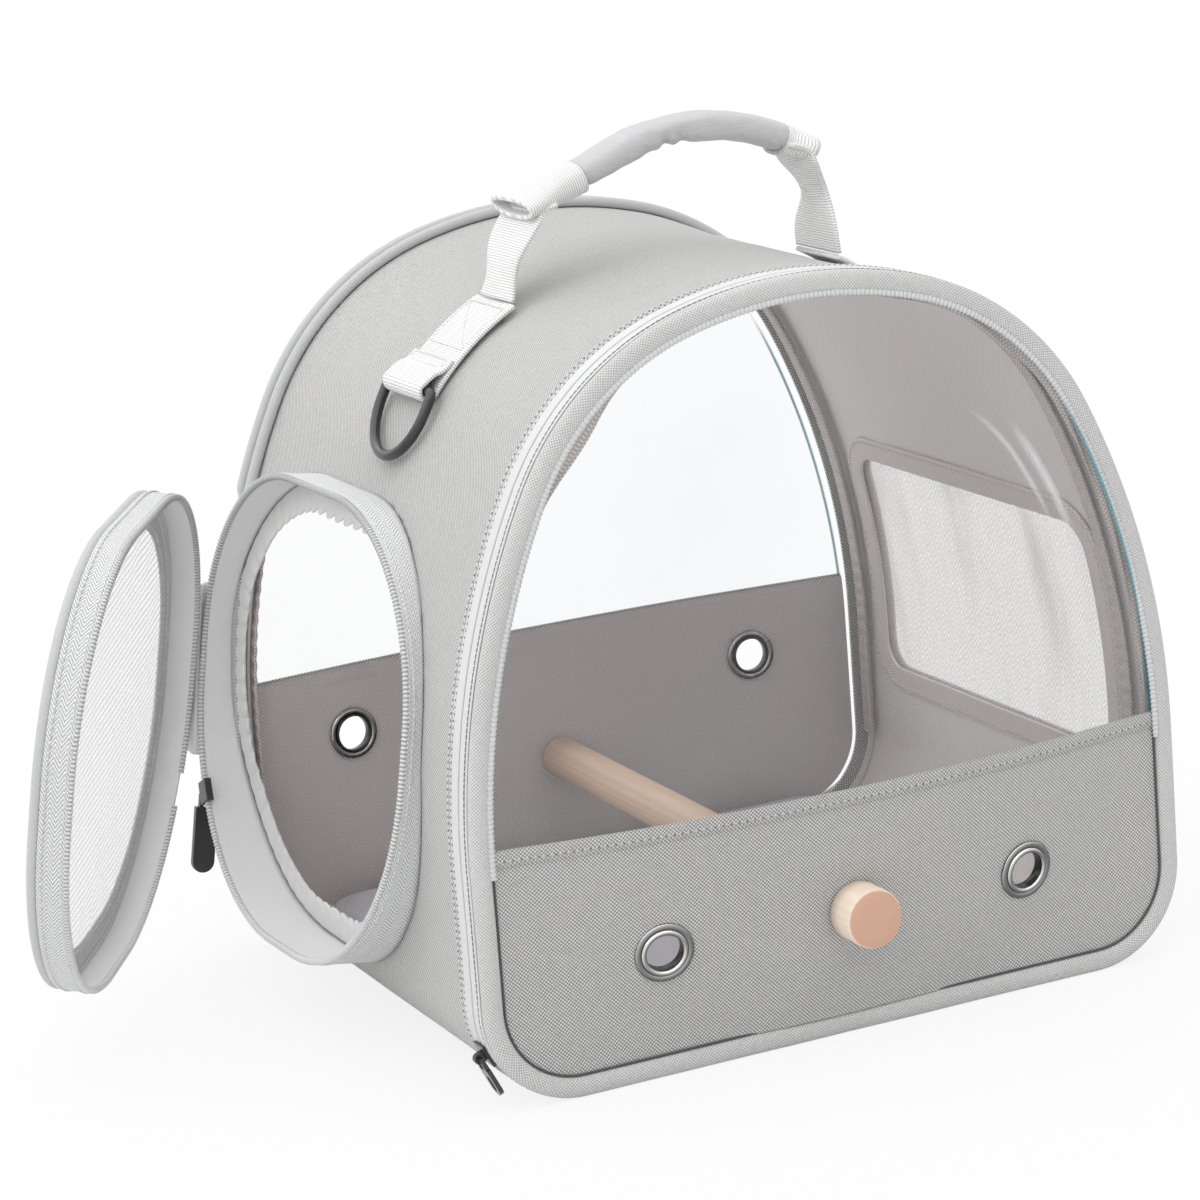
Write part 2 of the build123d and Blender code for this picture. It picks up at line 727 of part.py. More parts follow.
with BuildPart() as door_zip_coil_panel:
    add(door_ring(door_plane, -coil_inner, -coil_inner - coil_height, door_gap, door_gap + coil_width))
save(door_zip_coil_panel, "door_zip_coil_panel")

with BuildPart() as door_hinge_panel:
    add(door_ring(door_plane, door_hinge_thickness, 0.1, door_gap + pin_play, door_gap + hinge_inset))
    with BuildSketch(door_plane.offset(-beyond / 10)):
        with Locations((-door_half_length, 0)):
            Rectangle(door_half_length, 2 * door_hinge_reach)
    extrude(amount=beyond / 5, mode=Mode.INTERSECT)
    with BuildSketch(Plane(origin=hinge_point, z_dir=hinge_axis.direction)):
        Circle(hinge_fold_radius + hinge_fold_play)
    extrude(amount=hinge_fold_reach + 2 * hinge_fold_play, both=True, mode=Mode.SUBTRACT)
save(door_hinge_panel, "door_hinge_panel")

piping_low = door_gap + door_depth + 0.1
with BuildPart() as door_piping:
    ring_plane = door_plane.offset(piping_low + door_piping_radius)
    ring_path = ring_plane.from_local_coords(door_outline(-door_piping_radius))
    with BuildSketch(Plane(origin=ring_path @ 0, z_dir=ring_path % 0)):
        RegularPolygon(door_piping_radius, side_count=trim_sides)
    sweep(path=ring_path)
save(door_piping, "door_piping")

mesh_low = piping_low + door_piping_radius
mesh_edge = 2 * door_piping_radius + 0.1
with BuildPart() as door_mesh:
    with BuildSketch(door_plane.offset(mesh_low)):
        add(door_face(-mesh_edge))
    extrude(amount=mesh_thickness)
save(door_mesh, "door_mesh")

with BuildPart() as door_binding:
    add(door_ring(
        door_plane, -mesh_edge, -mesh_edge - door_binding_width,
        mesh_low - seam_gap - door_binding_thickness, mesh_low - seam_gap,
    ))
save(door_binding, "door_binding")

# Handle: webbing sewn over each shoulder, folded round a D-ring below, rising to a padded grip
strap_low = wall_offset + 0.1
strap_high = strap_low + webbing_thickness


def shoulder_point(angle, offset, side):
    reach = shoulder_radius + offset
    return (side * (shoulder_x + reach * cos(radians(angle))), shoulder_z + reach * sin(radians(angle)))


def strap_band(low, high, low_angle, high_angle, side):
    """Webbing laid on the shoulder between two offsets and two angles."""
    with BuildPart() as band:
        with BuildSketch(across(handle_y + webbing_width / 2)):
            add(arch_face(high))
            add(arch_face(low), mode=Mode.SUBTRACT)
            with BuildLine():
                Polyline(
                    (side * shoulder_x, shoulder_z), shoulder_point(low_angle, beyond / 4, side),
                    shoulder_point(high_angle, beyond / 4, side), close=True,
                )
            make_face(mode=Mode.INTERSECT)
        extrude(amount=webbing_width)
    return band.part


# Each D-ring hangs by its bar in the folded lower end of a strap and rests against the shoulder
ring_bore = ring_wire_radius + 0.3
ring_bar_offset = strap_low + loop_wall + ring_bore
bar_reach = shoulder_radius + ring_bar_offset
rest_reach = shoulder_radius + wall_offset + ring_wire_radius + 2 * seam_gap
ring_tilt = asin((bar_reach**2 + ring_drop**2 - rest_reach**2) / (2 * bar_reach * ring_drop))
ring_half = ring_inner_width / 2 + ring_wire_radius
ring_corner = min(ring_half - webbing_width / 2 - seam_gap, (ring_drop - ring_half) / 2)
for side, name in ((-1, "left"), (1, "right")):
    bar_x, bar_z = shoulder_point(ring_bar_angle, ring_bar_offset, side)
    with BuildPart() as strap:
        add(strap_band(strap_low, strap_high, ring_bar_angle, handle_high_angle, side))
        add(strap_band(strap_high, strap_high + webbing_thickness, ring_bar_angle, fold_back_angle, side))
        with BuildSketch(across(handle_y + webbing_width / 2)):
            with Locations((bar_x, bar_z)):
                Circle(ring_bore + loop_wall)
        extrude(amount=webbing_width)
        with BuildSketch(across(handle_y + webbing_width / 2)):
            with Locations((bar_x, bar_z)):
                Circle(ring_bore)
        extrude(amount=webbing_width, mode=Mode.SUBTRACT)
    save(strap, f"handle_strap_{name}")
    hang = radians(ring_bar_angle) - ring_tilt
    downward = Vector(side * sin(hang), 0, -cos(hang))
    ring_plane = Plane(
        origin=(bar_x, handle_y, bar_z), x_dir=(0, 1, 0), z_dir=Vector(0, 1, 0).cross(downward)
    )
    with BuildPart() as d_ring:
        with BuildLine(ring_plane):
            bar_line = Line((0, 0), (ring_half - ring_corner, 0))
            bend = RadiusArc(bar_line @ 1, (ring_half, ring_corner), -ring_corner)
            leg = Line(bend @ 1, (ring_half, ring_drop - ring_half))
            ThreePointArc(
                leg @ 1, (ring_half * sin(radians(45)), ring_drop - ring_half * (1 - cos(radians(45)))),
                (0, ring_drop),
            )
            mirror(about=Plane(origin=ring_plane.origin, z_dir=ring_plane.x_dir))
        with BuildSketch(Plane(origin=bar_line @ 0, z_dir=bar_line % 0)):
            RegularPolygon(ring_wire_radius, side_count=trim_sides)
        sweep()
    save(d_ring, f"d_ring_{name}")

# Grip: webbing folded to half its width inside a padded sleeve, bent as a carried handle is
core_thickness = 2 * webbing_thickness
with BuildLine(across(handle_y)) as grip_line:
    FilletPolyline(
        (-fold_left_x, fold_left_z), (-bend_x, bend_z), (crown_x, crown_top),
        (fold_right_x, fold_right_z), radius=grip_bend_radius,
    )
grip_wire = grip_line.wire()


def grip_section(width, thickness):
    """Solid swept along the handle's middle line with a bevelled oblong section."""
    with BuildPart() as body:
        add(grip_wire)
        section = Plane(origin=grip_wire @ 0, x_dir=(0, 1, 0), z_dir=grip_wire % 0)
        with BuildSketch(section) as profile:
            Rectangle(width, thickness)
            chamfer(profile.vertices(), length=thickness * 0.28)
        sweep(path=grip_wire)
    return body.part


with BuildPart() as grip_sleeve:
    add(grip_section(grip_width, grip_thickness))
    add(grip_section(webbing_width / 2 + 2 * seam_gap, core_thickness + 2 * seam_gap), mode=Mode.SUBTRACT)
    with Locations(((sleeve_right_x - sleeve_left_x) / 2, handle_y, crown_top)):
        Box(sleeve_right_x + sleeve_left_x, beyond, beyond, mode=Mode.INTERSECT)
save(grip_sleeve, "grip_sleeve")


def neck(end, inward, length):
    """Webbing narrowing from full width at the fold to half width at the sleeve."""
    with BuildPart() as body:
        with BuildSketch(Plane(origin=end, x_dir=inward, z_dir=inward.cross(Vector(0, 1, 0)))):
            with BuildLine():
                Polyline(
                    (0, -webbing_width / 2), (length / 4, -webbing_width / 2), (length, -webbing_width / 4),
                    (length, webbing_width / 4), (length / 4, webbing_width / 2), (0, webbing_width / 2),
                    close=True,
                )
            make_face()
        extrude(amount=core_thickness / 2, both=True)
    return body.part


with BuildPart() as grip_webbing:
    add(grip_section(webbing_width / 2, core_thickness))
    add(neck(grip_wire @ 0, grip_wire % 0, fold_left_x - sleeve_left_x - core_thickness / 2))
    add(neck(grip_wire @ 1, (grip_wire % 1) * -1, fold_right_x - sleeve_right_x - core_thickness / 2))
save(grip_webbing, "grip_webbing")

# Legs of the handle: limp webbing from the end of each strap up to the fold
for side, name, top_x, top_z in (
    (-1, "left", -fold_left_x, fold_left_z), (1, "right", fold_right_x, fold_right_z)
):
    foot_x = shoulder_point(handle_high_angle, strap_low + webbing_thickness / 2, side)[0]
    foot = (foot_x, shoulder_point(handle_high_angle, strap_high, side)[1] + seam_gap)
    inward_end = top_x - side * webbing_thickness
    head = (inward_end, top_z - core_thickness / 2 - webbing_thickness)
    middle = (inward_end * 0.3 + foot_x * 0.7, (foot[1] + head[1]) / 2)
    with BuildPart() as handle_leg:
        with BuildSketch(across(handle_y + webbing_width / 2)):
            with BuildLine():
                inner_curve = ThreePointArc(
                    (foot[0] - side * webbing_thickness / 2, foot[1]),
                    (middle[0] - side * webbing_thickness / 2, middle[1]),
                    (head[0] - side * webbing_thickness / 2, head[1]),
                )
                outer_curve = ThreePointArc(
                    (foot[0] + side * webbing_thickness / 2, foot[1]),
                    (middle[0] + side * webbing_thickness / 2, middle[1]),
                    (head[0] + side * webbing_thickness / 2, head[1]),
                )
                Line(inner_curve @ 0, outer_curve @ 0)
                Line(inner_curve @ 1, outer_curve @ 1)
            make_face()
        extrude(amount=webbing_width)
    save(handle_leg, f"handle_leg_{name}")


# Zip sliders run along round corners, so their plates are curved about the corner's centre
def sector(plane, centre, inner, outer, angle, low, high):
    """Curved plate between two radii about a centre, one slider length long."""
    half_turn = slider_length / 2 / outer
    turn = radians(angle)
    with BuildPart() as plate:
        with BuildSketch(plane.offset(low)):
            with Locations(centre):
                Circle(outer)
                Circle(inner, mode=Mode.SUBTRACT)
            with BuildLine():
                Polyline(
                    centre,
                    (centre[0] + 2 * outer * cos(turn - half_turn), centre[1] + 2 * outer * sin(turn - half_turn)),
                    (centre[0] + 2 * outer * cos(turn + half_turn), centre[1] + 2 * outer * sin(turn + half_turn)),
                    close=True,
                )
            make_face(mode=Mode.INTERSECT)
        extrude(amount=high - low)
    return plate.part


def slider_pivot(centre, track, angle):
    """Pin of the pull, above the slider's outer plate."""
    reach = track + slider_clearance + slider_plate + bail_radius
    return (centre[0] + reach * cos(radians(angle)), centre[1] + reach * sin(radians(angle)))


def zip_slider(plane, centre, track, angle, depth, low, high, inner_low):
    """Outer plate, post in the slot, inner plate behind the cabin's coil, and a bail for the pull."""
    top = track + slider_clearance + slider_plate
    behind = track - depth - slider_clearance
    pivot = slider_pivot(centre, track, angle)
    neck_middle = (pivot[0] - bail_radius / 2 * cos(radians(angle)), pivot[1] - bail_radius / 2 * sin(radians(angle)))
    middle = (low + high) / 2
    with BuildPart() as slider:
        add(sector(plane, centre, top - slider_plate, top, angle, low, high))
        add(sector(plane, centre, behind - slider_plate, top, angle, -slider_post / 2, slider_post / 2))
        add(sector(plane, centre, behind - slider_plate, behind, angle, inner_low, slider_post / 2))
        with BuildSketch(plane.offset(middle - bail_width / 2)):
            with Locations(pivot, neck_middle):
                Circle(bail_radius)
            with Locations(centre):
                Circle(top - slider_plate / 2, mode=Mode.SUBTRACT)
            with Locations(pivot):
                Circle(pull_pin_radius + pin_play, mode=Mode.SUBTRACT)
        extrude(amount=bail_width)
    return slider.part


def zip_pull(plane, centre, track, angle, hang, low, high, width, length, thickness):
    """Pull that hangs from the bail on its own pin: a fork at the top and a rounded tab below."""
    pivot = slider_pivot(centre, track, angle)
    middle = plane.offset((low + high) / 2)
    direction = middle.from_local_coords(Vector(cos(radians(hang)), sin(radians(hang)), 0)) - middle.origin
    origin = middle.from_local_coords(Vector(pivot[0], pivot[1], 0))
    flat = Plane(origin=origin, x_dir=plane.z_dir, z_dir=plane.z_dir.cross(direction))
    window = bail_width + 2 * fork_play
    reach = bail_radius + fork_depth
    with BuildPart() as pull:
        with BuildSketch(flat.offset(-thickness / 2)):
            with Locations((0, (length - pull_pin_radius) / 2)):
                RectangleRounded(width, length + pull_pin_radius, width / 2 - 0.2)
            with Locations((0, (reach - pull_pin_radius) / 2 - 1)):
                Rectangle(width, reach + pull_pin_radius + 2, mode=Mode.SUBTRACT)
            with Locations((0, reach / 2 - pull_pin_radius / 2 + 0.5)):
                Rectangle(window + 2 * pull_arm, reach + pull_pin_radius + 1)
            with Locations((0, reach / 2 - pull_pin_radius)):
                Rectangle(window, reach + 2 * pull_pin_radius, mode=Mode.SUBTRACT)
        extrude(amount=thickness)
        with BuildSketch(plane.offset((low + high) / 2 - window / 2 - pull_arm)):
            with Locations(pivot):
                Circle(pull_pin_radius)
        extrude(amount=window + 2 * pull_arm)
    return pull.part


# Front slider on the lower left corner
front_slit = across(coil_split + coil_gap / 2)
front_corner = (-flat_half, corner_height)
front_track = corner_radius + wall_offset
zip_depth = tape_thickness + 0.1 + coil_height
with BuildPart() as front_zip_slider:
    add(zip_slider(
        front_slit, front_corner, front_track, slider_angle, zip_depth,
        -slider_width / 2, slider_width / 2, -coil_gap / 2 - coil_width - slider_clearance,
    ))
save(front_zip_slider, "front_zip_slider")

with BuildPart() as front_zip_pull:
    add(zip_pull(
        front_slit, front_corner, front_track, slider_angle, slider_angle + 90,
        -slider_width / 2, slider_width / 2, front_pull_width, front_pull_length, front_pull_thickness,
    ))
    hang = radians(slider_angle + 90)
    pivot = slider_pivot(front_corner, front_track, slider_angle)
    flat = Plane(
        origin=front_slit.from_local_coords(Vector(pivot[0], pivot[1], 0)),
        x_dir=front_slit.z_dir, z_dir=front_slit.z_dir.cross(Vector(cos(hang), 0, sin(hang))),
    )
    with BuildSketch(flat.offset(-front_pull_thickness)):
        with Locations((0, front_pull_length * 0.68)):
            SlotOverall(front_pull_length * 0.42, front_pull_width * 0.4, rotation=90)
    extrude(amount=2 * front_pull_thickness, mode=Mode.SUBTRACT)
save(front_zip_pull, "front_zip_pull")

# Door slider on the collar's lower rear arc, under the fabric hinge
door_slit = rim_plane.offset(door_gap / 2)
door_arc = min(door_bottom_radius, min(door_half_length, door_half_height) - 1)
door_corner = (door_arc - door_half_length, door_arc - door_half_height)
door_slider_angle = 180 + degrees(asin((door_slider_drop + door_corner[1]) / door_arc))
door_zip_depth = collar_thickness + 0.1 + coil_height
door_plate_high = door_gap / 2 - seam_gap
door_plate_low = door_plate_high - slider_width
with BuildPart() as door_zip_slider:
    add(zip_slider(
        door_slit, door_corner, door_arc, door_slider_angle, door_zip_depth,
        door_plate_low, door_plate_high, -door_gap / 2 - coil_width - slider_clearance,
    ))
save(door_zip_slider, "door_zip_slider")

with BuildPart() as door_zip_pull:
    add(zip_pull(
        door_slit, door_corner, door_arc, door_slider_angle, 270,
        door_plate_low, door_plate_high, door_pull_width, door_pull_length, door_pull_thickness,
    ))
save(door_zip_pull, "door_zip_pull")
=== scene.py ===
import math
import bmesh
import bpy
import numpy as np
from mathutils import Matrix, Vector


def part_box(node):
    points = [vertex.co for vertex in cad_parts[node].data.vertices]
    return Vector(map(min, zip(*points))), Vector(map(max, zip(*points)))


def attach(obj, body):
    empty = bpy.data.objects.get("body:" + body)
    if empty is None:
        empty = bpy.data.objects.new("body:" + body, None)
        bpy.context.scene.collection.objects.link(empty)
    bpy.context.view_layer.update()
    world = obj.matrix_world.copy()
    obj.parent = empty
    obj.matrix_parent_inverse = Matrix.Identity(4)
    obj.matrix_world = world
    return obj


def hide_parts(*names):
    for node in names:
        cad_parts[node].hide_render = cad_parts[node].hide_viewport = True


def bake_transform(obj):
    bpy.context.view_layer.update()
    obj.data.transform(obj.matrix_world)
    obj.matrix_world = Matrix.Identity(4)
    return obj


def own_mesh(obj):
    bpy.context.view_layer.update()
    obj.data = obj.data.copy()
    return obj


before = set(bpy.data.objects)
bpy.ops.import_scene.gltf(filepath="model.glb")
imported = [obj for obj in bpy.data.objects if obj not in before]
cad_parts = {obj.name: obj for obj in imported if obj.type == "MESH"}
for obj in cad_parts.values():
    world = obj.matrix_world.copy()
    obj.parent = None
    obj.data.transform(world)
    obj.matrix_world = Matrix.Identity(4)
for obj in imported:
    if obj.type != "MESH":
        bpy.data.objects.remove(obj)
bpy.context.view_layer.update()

# All sizes below are in millimetres; meshes are written in metres.
cabin = {
    "halfWidth": 150.0, "rimBottom": 8.0, "cornerRadius": 32.5, "straightTop": 97.3,
    "sideRadius": 313.0, "sideAngle": 26.4, "shoulderRadius": 108.7, "shoulderAngle": 73.9,
    "frontY": -131.5, "rearY": 131.5, "wallFront": -113.7, "wallRear": 120.5, "wallOut": 8.0,
}
door = {
    "middle": (-168.0, 20.5, 128.0), "lean": 9.6, "yaw": 1.7, "halfLength": 106.0, "halfHeight": 97.5,
    "topRadius": 82.0, "bottomRadius": 94.0, "openAngle": 35.0, "hingeLean": 3.0, "gap": 1.2,
}
mm = 0.001
quarter = math.pi / 2
sideways = np.array([0, 1.0, 0])


# Half of a closed outline as straight runs and arcs, from the bottom middle round to the top middle.
# Run: start x, z, length, angle of its outward normal. Arc: centre x, z, radius, first and last angle.
def cabinOutline():
    c = cabin
    flat = c["halfWidth"] - c["cornerRadius"]
    cornerZ = c["rimBottom"] + c["cornerRadius"]
    sideX = c["halfWidth"] - c["sideRadius"]
    a1, a2 = math.radians(c["sideAngle"]), math.radians(c["shoulderAngle"])
    gap = c["sideRadius"] - c["shoulderRadius"]
    shoulderX, shoulderZ = sideX + gap * math.cos(a1), c["straightTop"] + gap * math.sin(a1)
    crownR = c["shoulderRadius"] + shoulderX / math.cos(a2)
    crownZ = shoulderZ - shoulderX * math.tan(a2)
    return [
        ("run", 0.0, c["rimBottom"], flat, -quarter),
        ("arc", flat, cornerZ, c["cornerRadius"], -quarter, 0.0),
        ("run", c["halfWidth"], cornerZ, c["straightTop"] - cornerZ, 0.0),
        ("arc", sideX, c["straightTop"], c["sideRadius"], 0.0, a1),
        ("arc", shoulderX, shoulderZ, c["shoulderRadius"], a1, a2),
        ("arc", 0.0, crownZ, crownR, a2, quarter),
    ]


# Rounded oblong: half its length and height, and the radii of its bottom and top corners
def oblong(l, h, b, t):
    return [
        ("run", 0.0, -h, l - b, -quarter),
        ("arc", l - b, b - h, b, -quarter, 0.0),
        ("run", l, b - h, 2 * h - b - t, 0.0),
        ("arc", l - t, h - t, t, 0.0, quarter),
        ("run", l - t, h, l - t, quarter),
    ]


def partLength(part):
    return part[3] if part[0] == "run" else part[3] * (part[5] - part[4])


def halfLength(outline):
    return sum(partLength(part) for part in outline)


# Point and outward normal at arc length s, moved out by d: x = x0 + d * cos(a), z = z0 + d * sin(a),
# with the second half mirrored in x
def trace(outline, s, d=0.0):
    half = halfLength(outline)
    s, d = np.broadcast_arrays(np.asarray(s, float) % (2 * half), np.asarray(d, float))
    mirrored = s > half
    t = np.where(mirrored, 2 * half - s, s)
    x, z, nx, nz = (np.zeros(t.shape) for _ in range(4))
    start = 0.0
    for part in outline:
        run = partLength(part)
        here = t >= start - 1e-9
        u = np.clip(t - start, 0, run)
        if part[0] == "run":
            angle = np.full(t.shape, part[4])
            px = part[1] - np.sin(angle) * u + np.cos(angle) * d
            pz = part[2] + np.cos(angle) * u + np.sin(angle) * d
        else:
            angle = part[4] + u / part[3]
            px = part[1] + (part[3] + d) * np.cos(angle)
            pz = part[2] + (part[3] + d) * np.sin(angle)
        x, z = np.where(here, px, x), np.where(here, pz, z)
        nx, nz = np.where(here, np.cos(angle), nx), np.where(here, np.sin(angle), nz)
        start += run
    return np.where(mirrored, -x, x), z, np.where(mirrored, -nx, nx), nz


archShape = cabinOutline()
doorShape = oblong(door["halfLength"], door["halfHeight"], door["bottomRadius"], door["topRadius"])
archHalf, doorHalf = halfLength(archShape), halfLength(doorShape)
baseRun = archShape[0][3]
wallRun = np.linspace(baseRun, archHalf, 3000)
wallX, wallZ = trace(archShape, wallRun)[:2]


def halfWidthAt(z):
    return float(np.interp(z, wallZ, wallX))


def runAtHeight(z):
    return float(np.interp(z, wallZ, wallRun))


# Signed distance of a point from the cabin's outline: the arc or run that faces it, less its radius
def archDistance(x, z):
    flat, cz = archShape[1][1:3]
    x = np.abs(x)
    side, shoulder, crown = archShape[3:]
    far = np.hypot(x - flat, z - cz) - cabin["cornerRadius"]
    far = np.where(z > cz, x - cabin["halfWidth"], far)
    far = np.where(z > side[2], np.hypot(x - side[1], z - side[2]) - side[3], far)
    past = (z > side[2]) & (np.arctan2(z - side[2], x - side[1]) > side[5])
    far = np.where(past, np.hypot(x - shoulder[1], z - shoulder[2]) - shoulder[3], far)
    past = past & (np.arctan2(z - shoulder[2], x - shoulder[1]) > shoulder[5])
    far = np.where(past, np.hypot(x, z - crown[2]) - crown[3], far)
    return np.where((z < cz) & (x < flat), cabin["rimBottom"] - z, far)


def unit(v):
    v = np.asarray(v, float)
    return v / np.linalg.norm(v, axis=-1, keepdims=True)


def turned(v, axis, degrees):
    a, t = unit(axis), math.radians(degrees)
    v = np.asarray(v, float)
    return v * math.cos(t) + np.cross(a, v) * math.sin(t) + a * np.dot(v, a)[..., None] * (1 - math.cos(t))


# The door's two planes: the rim on the cabin, and the door itself where it stands open
yawSlope, leanSlope = (math.tan(math.radians(door[key])) for key in ("yaw", "lean"))
hingeLean = math.radians(door["hingeLean"])
rimOut, rimForward = unit([-1, -yawSlope, leanSlope]), unit([yawSlope, -1, 0])
rim = {"origin": np.array(door["middle"]), "x": rimForward, "y": np.cross(rimOut, rimForward), "z": rimOut}
hingeAxis = np.array([-math.sin(hingeLean), 0, math.cos(hingeLean)])
hingePoint = rim["origin"] - (door["halfLength"] + 0.5) * rim["x"] + door["gap"] / 2 * rim["z"]
openDoor = {key: turned(rim[key], hingeAxis, -door["openAngle"]) for key in "xyz"}
openDoor["origin"] = hingePoint + turned(rim["origin"] - hingePoint, hingeAxis, -door["openAngle"])


def onPlane(plane, u, v, w=0.0):
    u, v, w = np.broadcast_arrays(u, v, w)
    return plane["origin"] + u[..., None] * plane["x"] + v[..., None] * plane["y"] + w[..., None] * plane["z"]


# Smooth, repeatable unevenness: the mean of a few sines of two parameters
def waves(a, b, seed, size, count=6, low=0.5, high=1.8):
    r = np.random.default_rng(seed)
    total = np.zeros(np.broadcast(a, b).shape)
    for _ in range(count):
        turn, rate = r.uniform(0, math.pi), r.uniform(low, high)
        total = total + np.sin((a * math.cos(turn) + b * math.sin(turn)) * rate + r.uniform(0, 6.28)) / count
    return total * size


def smoothStep(low, high, x):
    t = np.clip((x - low) / (high - low), 0, 1)
    return t * t * (3 - 2 * t)


# Bell-shaped rise about a place
def bell(x, at, wide):
    return np.exp(-(((x - at) / wide) ** 2))


def spacing(points):
    return np.r_[0, np.cumsum(np.linalg.norm(np.diff(points, axis=0), axis=1))]


# Flat map of a swept piece, in metres: the run along it and the distance round its section
def flatMap(run, over):
    return np.stack(np.meshgrid(run, over, indexing="ij"), -1) * mm


def vectors(items, what):
    values = np.empty(len(items) * 3, np.float32)
    items.foreach_get(what, values)
    return values.reshape(-1, 3)


def shadeSmooth(mesh):
    mesh.polygons.foreach_set("use_smooth", np.ones(len(mesh.polygons), dtype=bool))


# Mesh from a grid of points, closed or open in either direction; uv is in metres along the surface
def gridMesh(points, uv=None, closeA=False, closeB=False, material=None):
    na, nb = points.shape[:2]
    a, b = np.meshgrid(np.arange(na - (not closeA)), np.arange(nb - (not closeB)), indexing="ij")
    a, b = a.ravel(), b.ravel()
    around = ((a, b), (a + 1, b), (a + 1, b + 1), (a, b + 1))
    quads = np.stack([(i % na) * nb + j % nb for i, j in around], -1)
    if uv is None:
        uv = flatMap(spacing(points.mean(1)), spacing(points.mean(0)))
    if closeA:
        uv = np.concatenate([uv, uv[-1:] + (uv[-1:] - uv[-2:-1])])
    if closeB:
        uv = np.concatenate([uv, uv[:, -1:] + (uv[:, -1:] - uv[:, -2:-1])], 1)
    corners = np.stack([uv[i, j] for i, j in around], 1)
    mesh = bpy.data.meshes.new("grid")
    mesh.vertices.add(na * nb)
    mesh.vertices.foreach_set("co", (points.reshape(-1, 3) * mm).astype(np.float32).ravel())
    mesh.loops.add(quads.size)
    mesh.loops.foreach_set("vertex_index", quads.astype(np.int32).ravel())
    mesh.polygons.add(len(quads))
    mesh.polygons.foreach_set("loop_start", np.arange(0, quads.size, 4, dtype=np.int32))
    shadeSmooth(mesh)
    if material is not None:
        mesh.polygons.foreach_set("material_index", material[a % na, b % nb].astype(np.int32).ravel())
    mesh.uv_layers.new(name="flat").data.foreach_set("uv", corners.astype(np.float32).ravel())
    mesh.update(calc_edges=True)
    return mesh


def addObject(name, data):
    thing = bpy.data.objects.new(name, data)
    bpy.context.scene.collection.objects.link(thing)
    return thing


# One object out of one or more meshes: doubles merged, faces turned outwards.
# replaced names the CAD nodes that it stands for; perMesh gives each mesh its own material.
def addPiece(name, meshes, materials, body=None, replaced=(), slot=None, recalc=True, perMesh=False):
    meshes = meshes if isinstance(meshes, list) else [meshes]
    work = bmesh.new()
    for number, mesh in enumerate(meshes):
        if perMesh:
            mesh.polygons.foreach_set("material_index", np.full(len(mesh.polygons), number, dtype=np.int32))
        work.from_mesh(mesh)
    bmesh.ops.remove_doubles(work, verts=work.verts, dist=3e-6)
    bmesh.ops.dissolve_degenerate(work, edges=work.edges, dist=1e-7)
    if recalc:
        bmesh.ops.recalc_face_normals(work, faces=work.faces)
    final = bpy.data.meshes.new(name)
    work.to_mesh(final)
    work.free()
    for mesh in meshes:
        bpy.data.meshes.remove(mesh)
    for material in materials if isinstance(materials, list) else [materials]:
        final.materials.append(material)
    piece = addObject(name, final)
    if replaced:
        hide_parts(*replaced)
    if body:
        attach(piece, body)
    return piece


def bake(piece):
    graph = bpy.context.evaluated_depsgraph_get()
    mesh = bpy.data.meshes.new_from_object(piece.evaluated_get(graph), depsgraph=graph)
    old = piece.data
    piece.modifiers.clear()
    piece.data = mesh
    bpy.data.meshes.remove(old)
    mesh.name = piece.name


# Cuts a prism, drawn on a plane between two depths, out of a piece
def cut(piece, plane, u, v, low, high):
    n, k = len(u), np.arange(len(u))
    points = np.concatenate([onPlane(plane, u, v, w) for w in (low, high)]) * mm
    sides = np.stack([k, (k + 1) % n, n + (k + 1) % n, n + k], -1)
    mesh = bpy.data.meshes.new("cutter")
    mesh.from_pydata(points.tolist(), [], [*sides.tolist(), k[::-1].tolist(), (n + k).tolist()])
    work = bmesh.new()
    work.from_mesh(mesh)
    bmesh.ops.recalc_face_normals(work, faces=work.faces)
    work.to_mesh(mesh)
    work.free()
    cutter = addObject("cutter", mesh)
    step = piece.modifiers.new("cut", "BOOLEAN")
    step.object, step.operation, step.solver = cutter, "DIFFERENCE", "EXACT"
    bake(piece)
    bpy.data.objects.remove(cutter)


def thicken(piece, amount, offset=-1.0, inner=0):
    wall = piece.modifiers.new("thickness", "SOLIDIFY")
    wall.thickness, wall.offset, wall.material_offset = amount * mm, offset, inner
    bake(piece)


# Faces that look towards an axis take a second material, as a lined cloth does
def lineInside(piece, middle, axis, material):
    faces = piece.data.polygons
    away = vectors(faces, "center") * 1000.0 - middle
    away -= (away @ axis)[:, None] * axis
    facing = (away * vectors(faces, "normal")).sum(1) / np.linalg.norm(away, axis=1)
    piece.data.materials.append(material)
    faces.foreach_set("material_index", (facing < -0.35).astype(np.int32))


# Open tube whose ends are drawn in to their middle
def capped(points):
    middle = np.repeat(points.mean(1, keepdims=True), points.shape[1], 1)
    return np.concatenate([middle[:1], points, middle[-1:]])


# Points that lie a out and b back from each of the rows
def swept(rows, a, b):
    place, out, back, _ = rows
    return place[:, None] + a[..., None] * out[:, None] + b[..., None] * back[:, None]


# Profile of (out, back) pairs carried along rows of points with their out and back directions
def carry(rows, profile, closed=True, ripple=None):
    run = rows[3]
    a, b = profile[None, :, 0], profile[None, :, 1]
    if ripple is not None:
        da, db = ripple(run[:, None], a, b)
        a, b = a + da, b + db
    points, uv = swept(rows, a, b), flatMap(run, spacing(profile))
    if not closed:
        points, uv = capped(points), np.concatenate([uv[:1], uv, uv[-1:]])
    return gridMesh(points, uv, closed, True)


# Places along a closed outline, or along a span of it
def spread(half, step, span=None):
    if span is None:
        return np.linspace(0, 2 * half, int(2 * half / step), endpoint=False)
    return np.linspace(span[0], span[1], max(4, int(abs(span[1] - span[0]) / step) + 1))


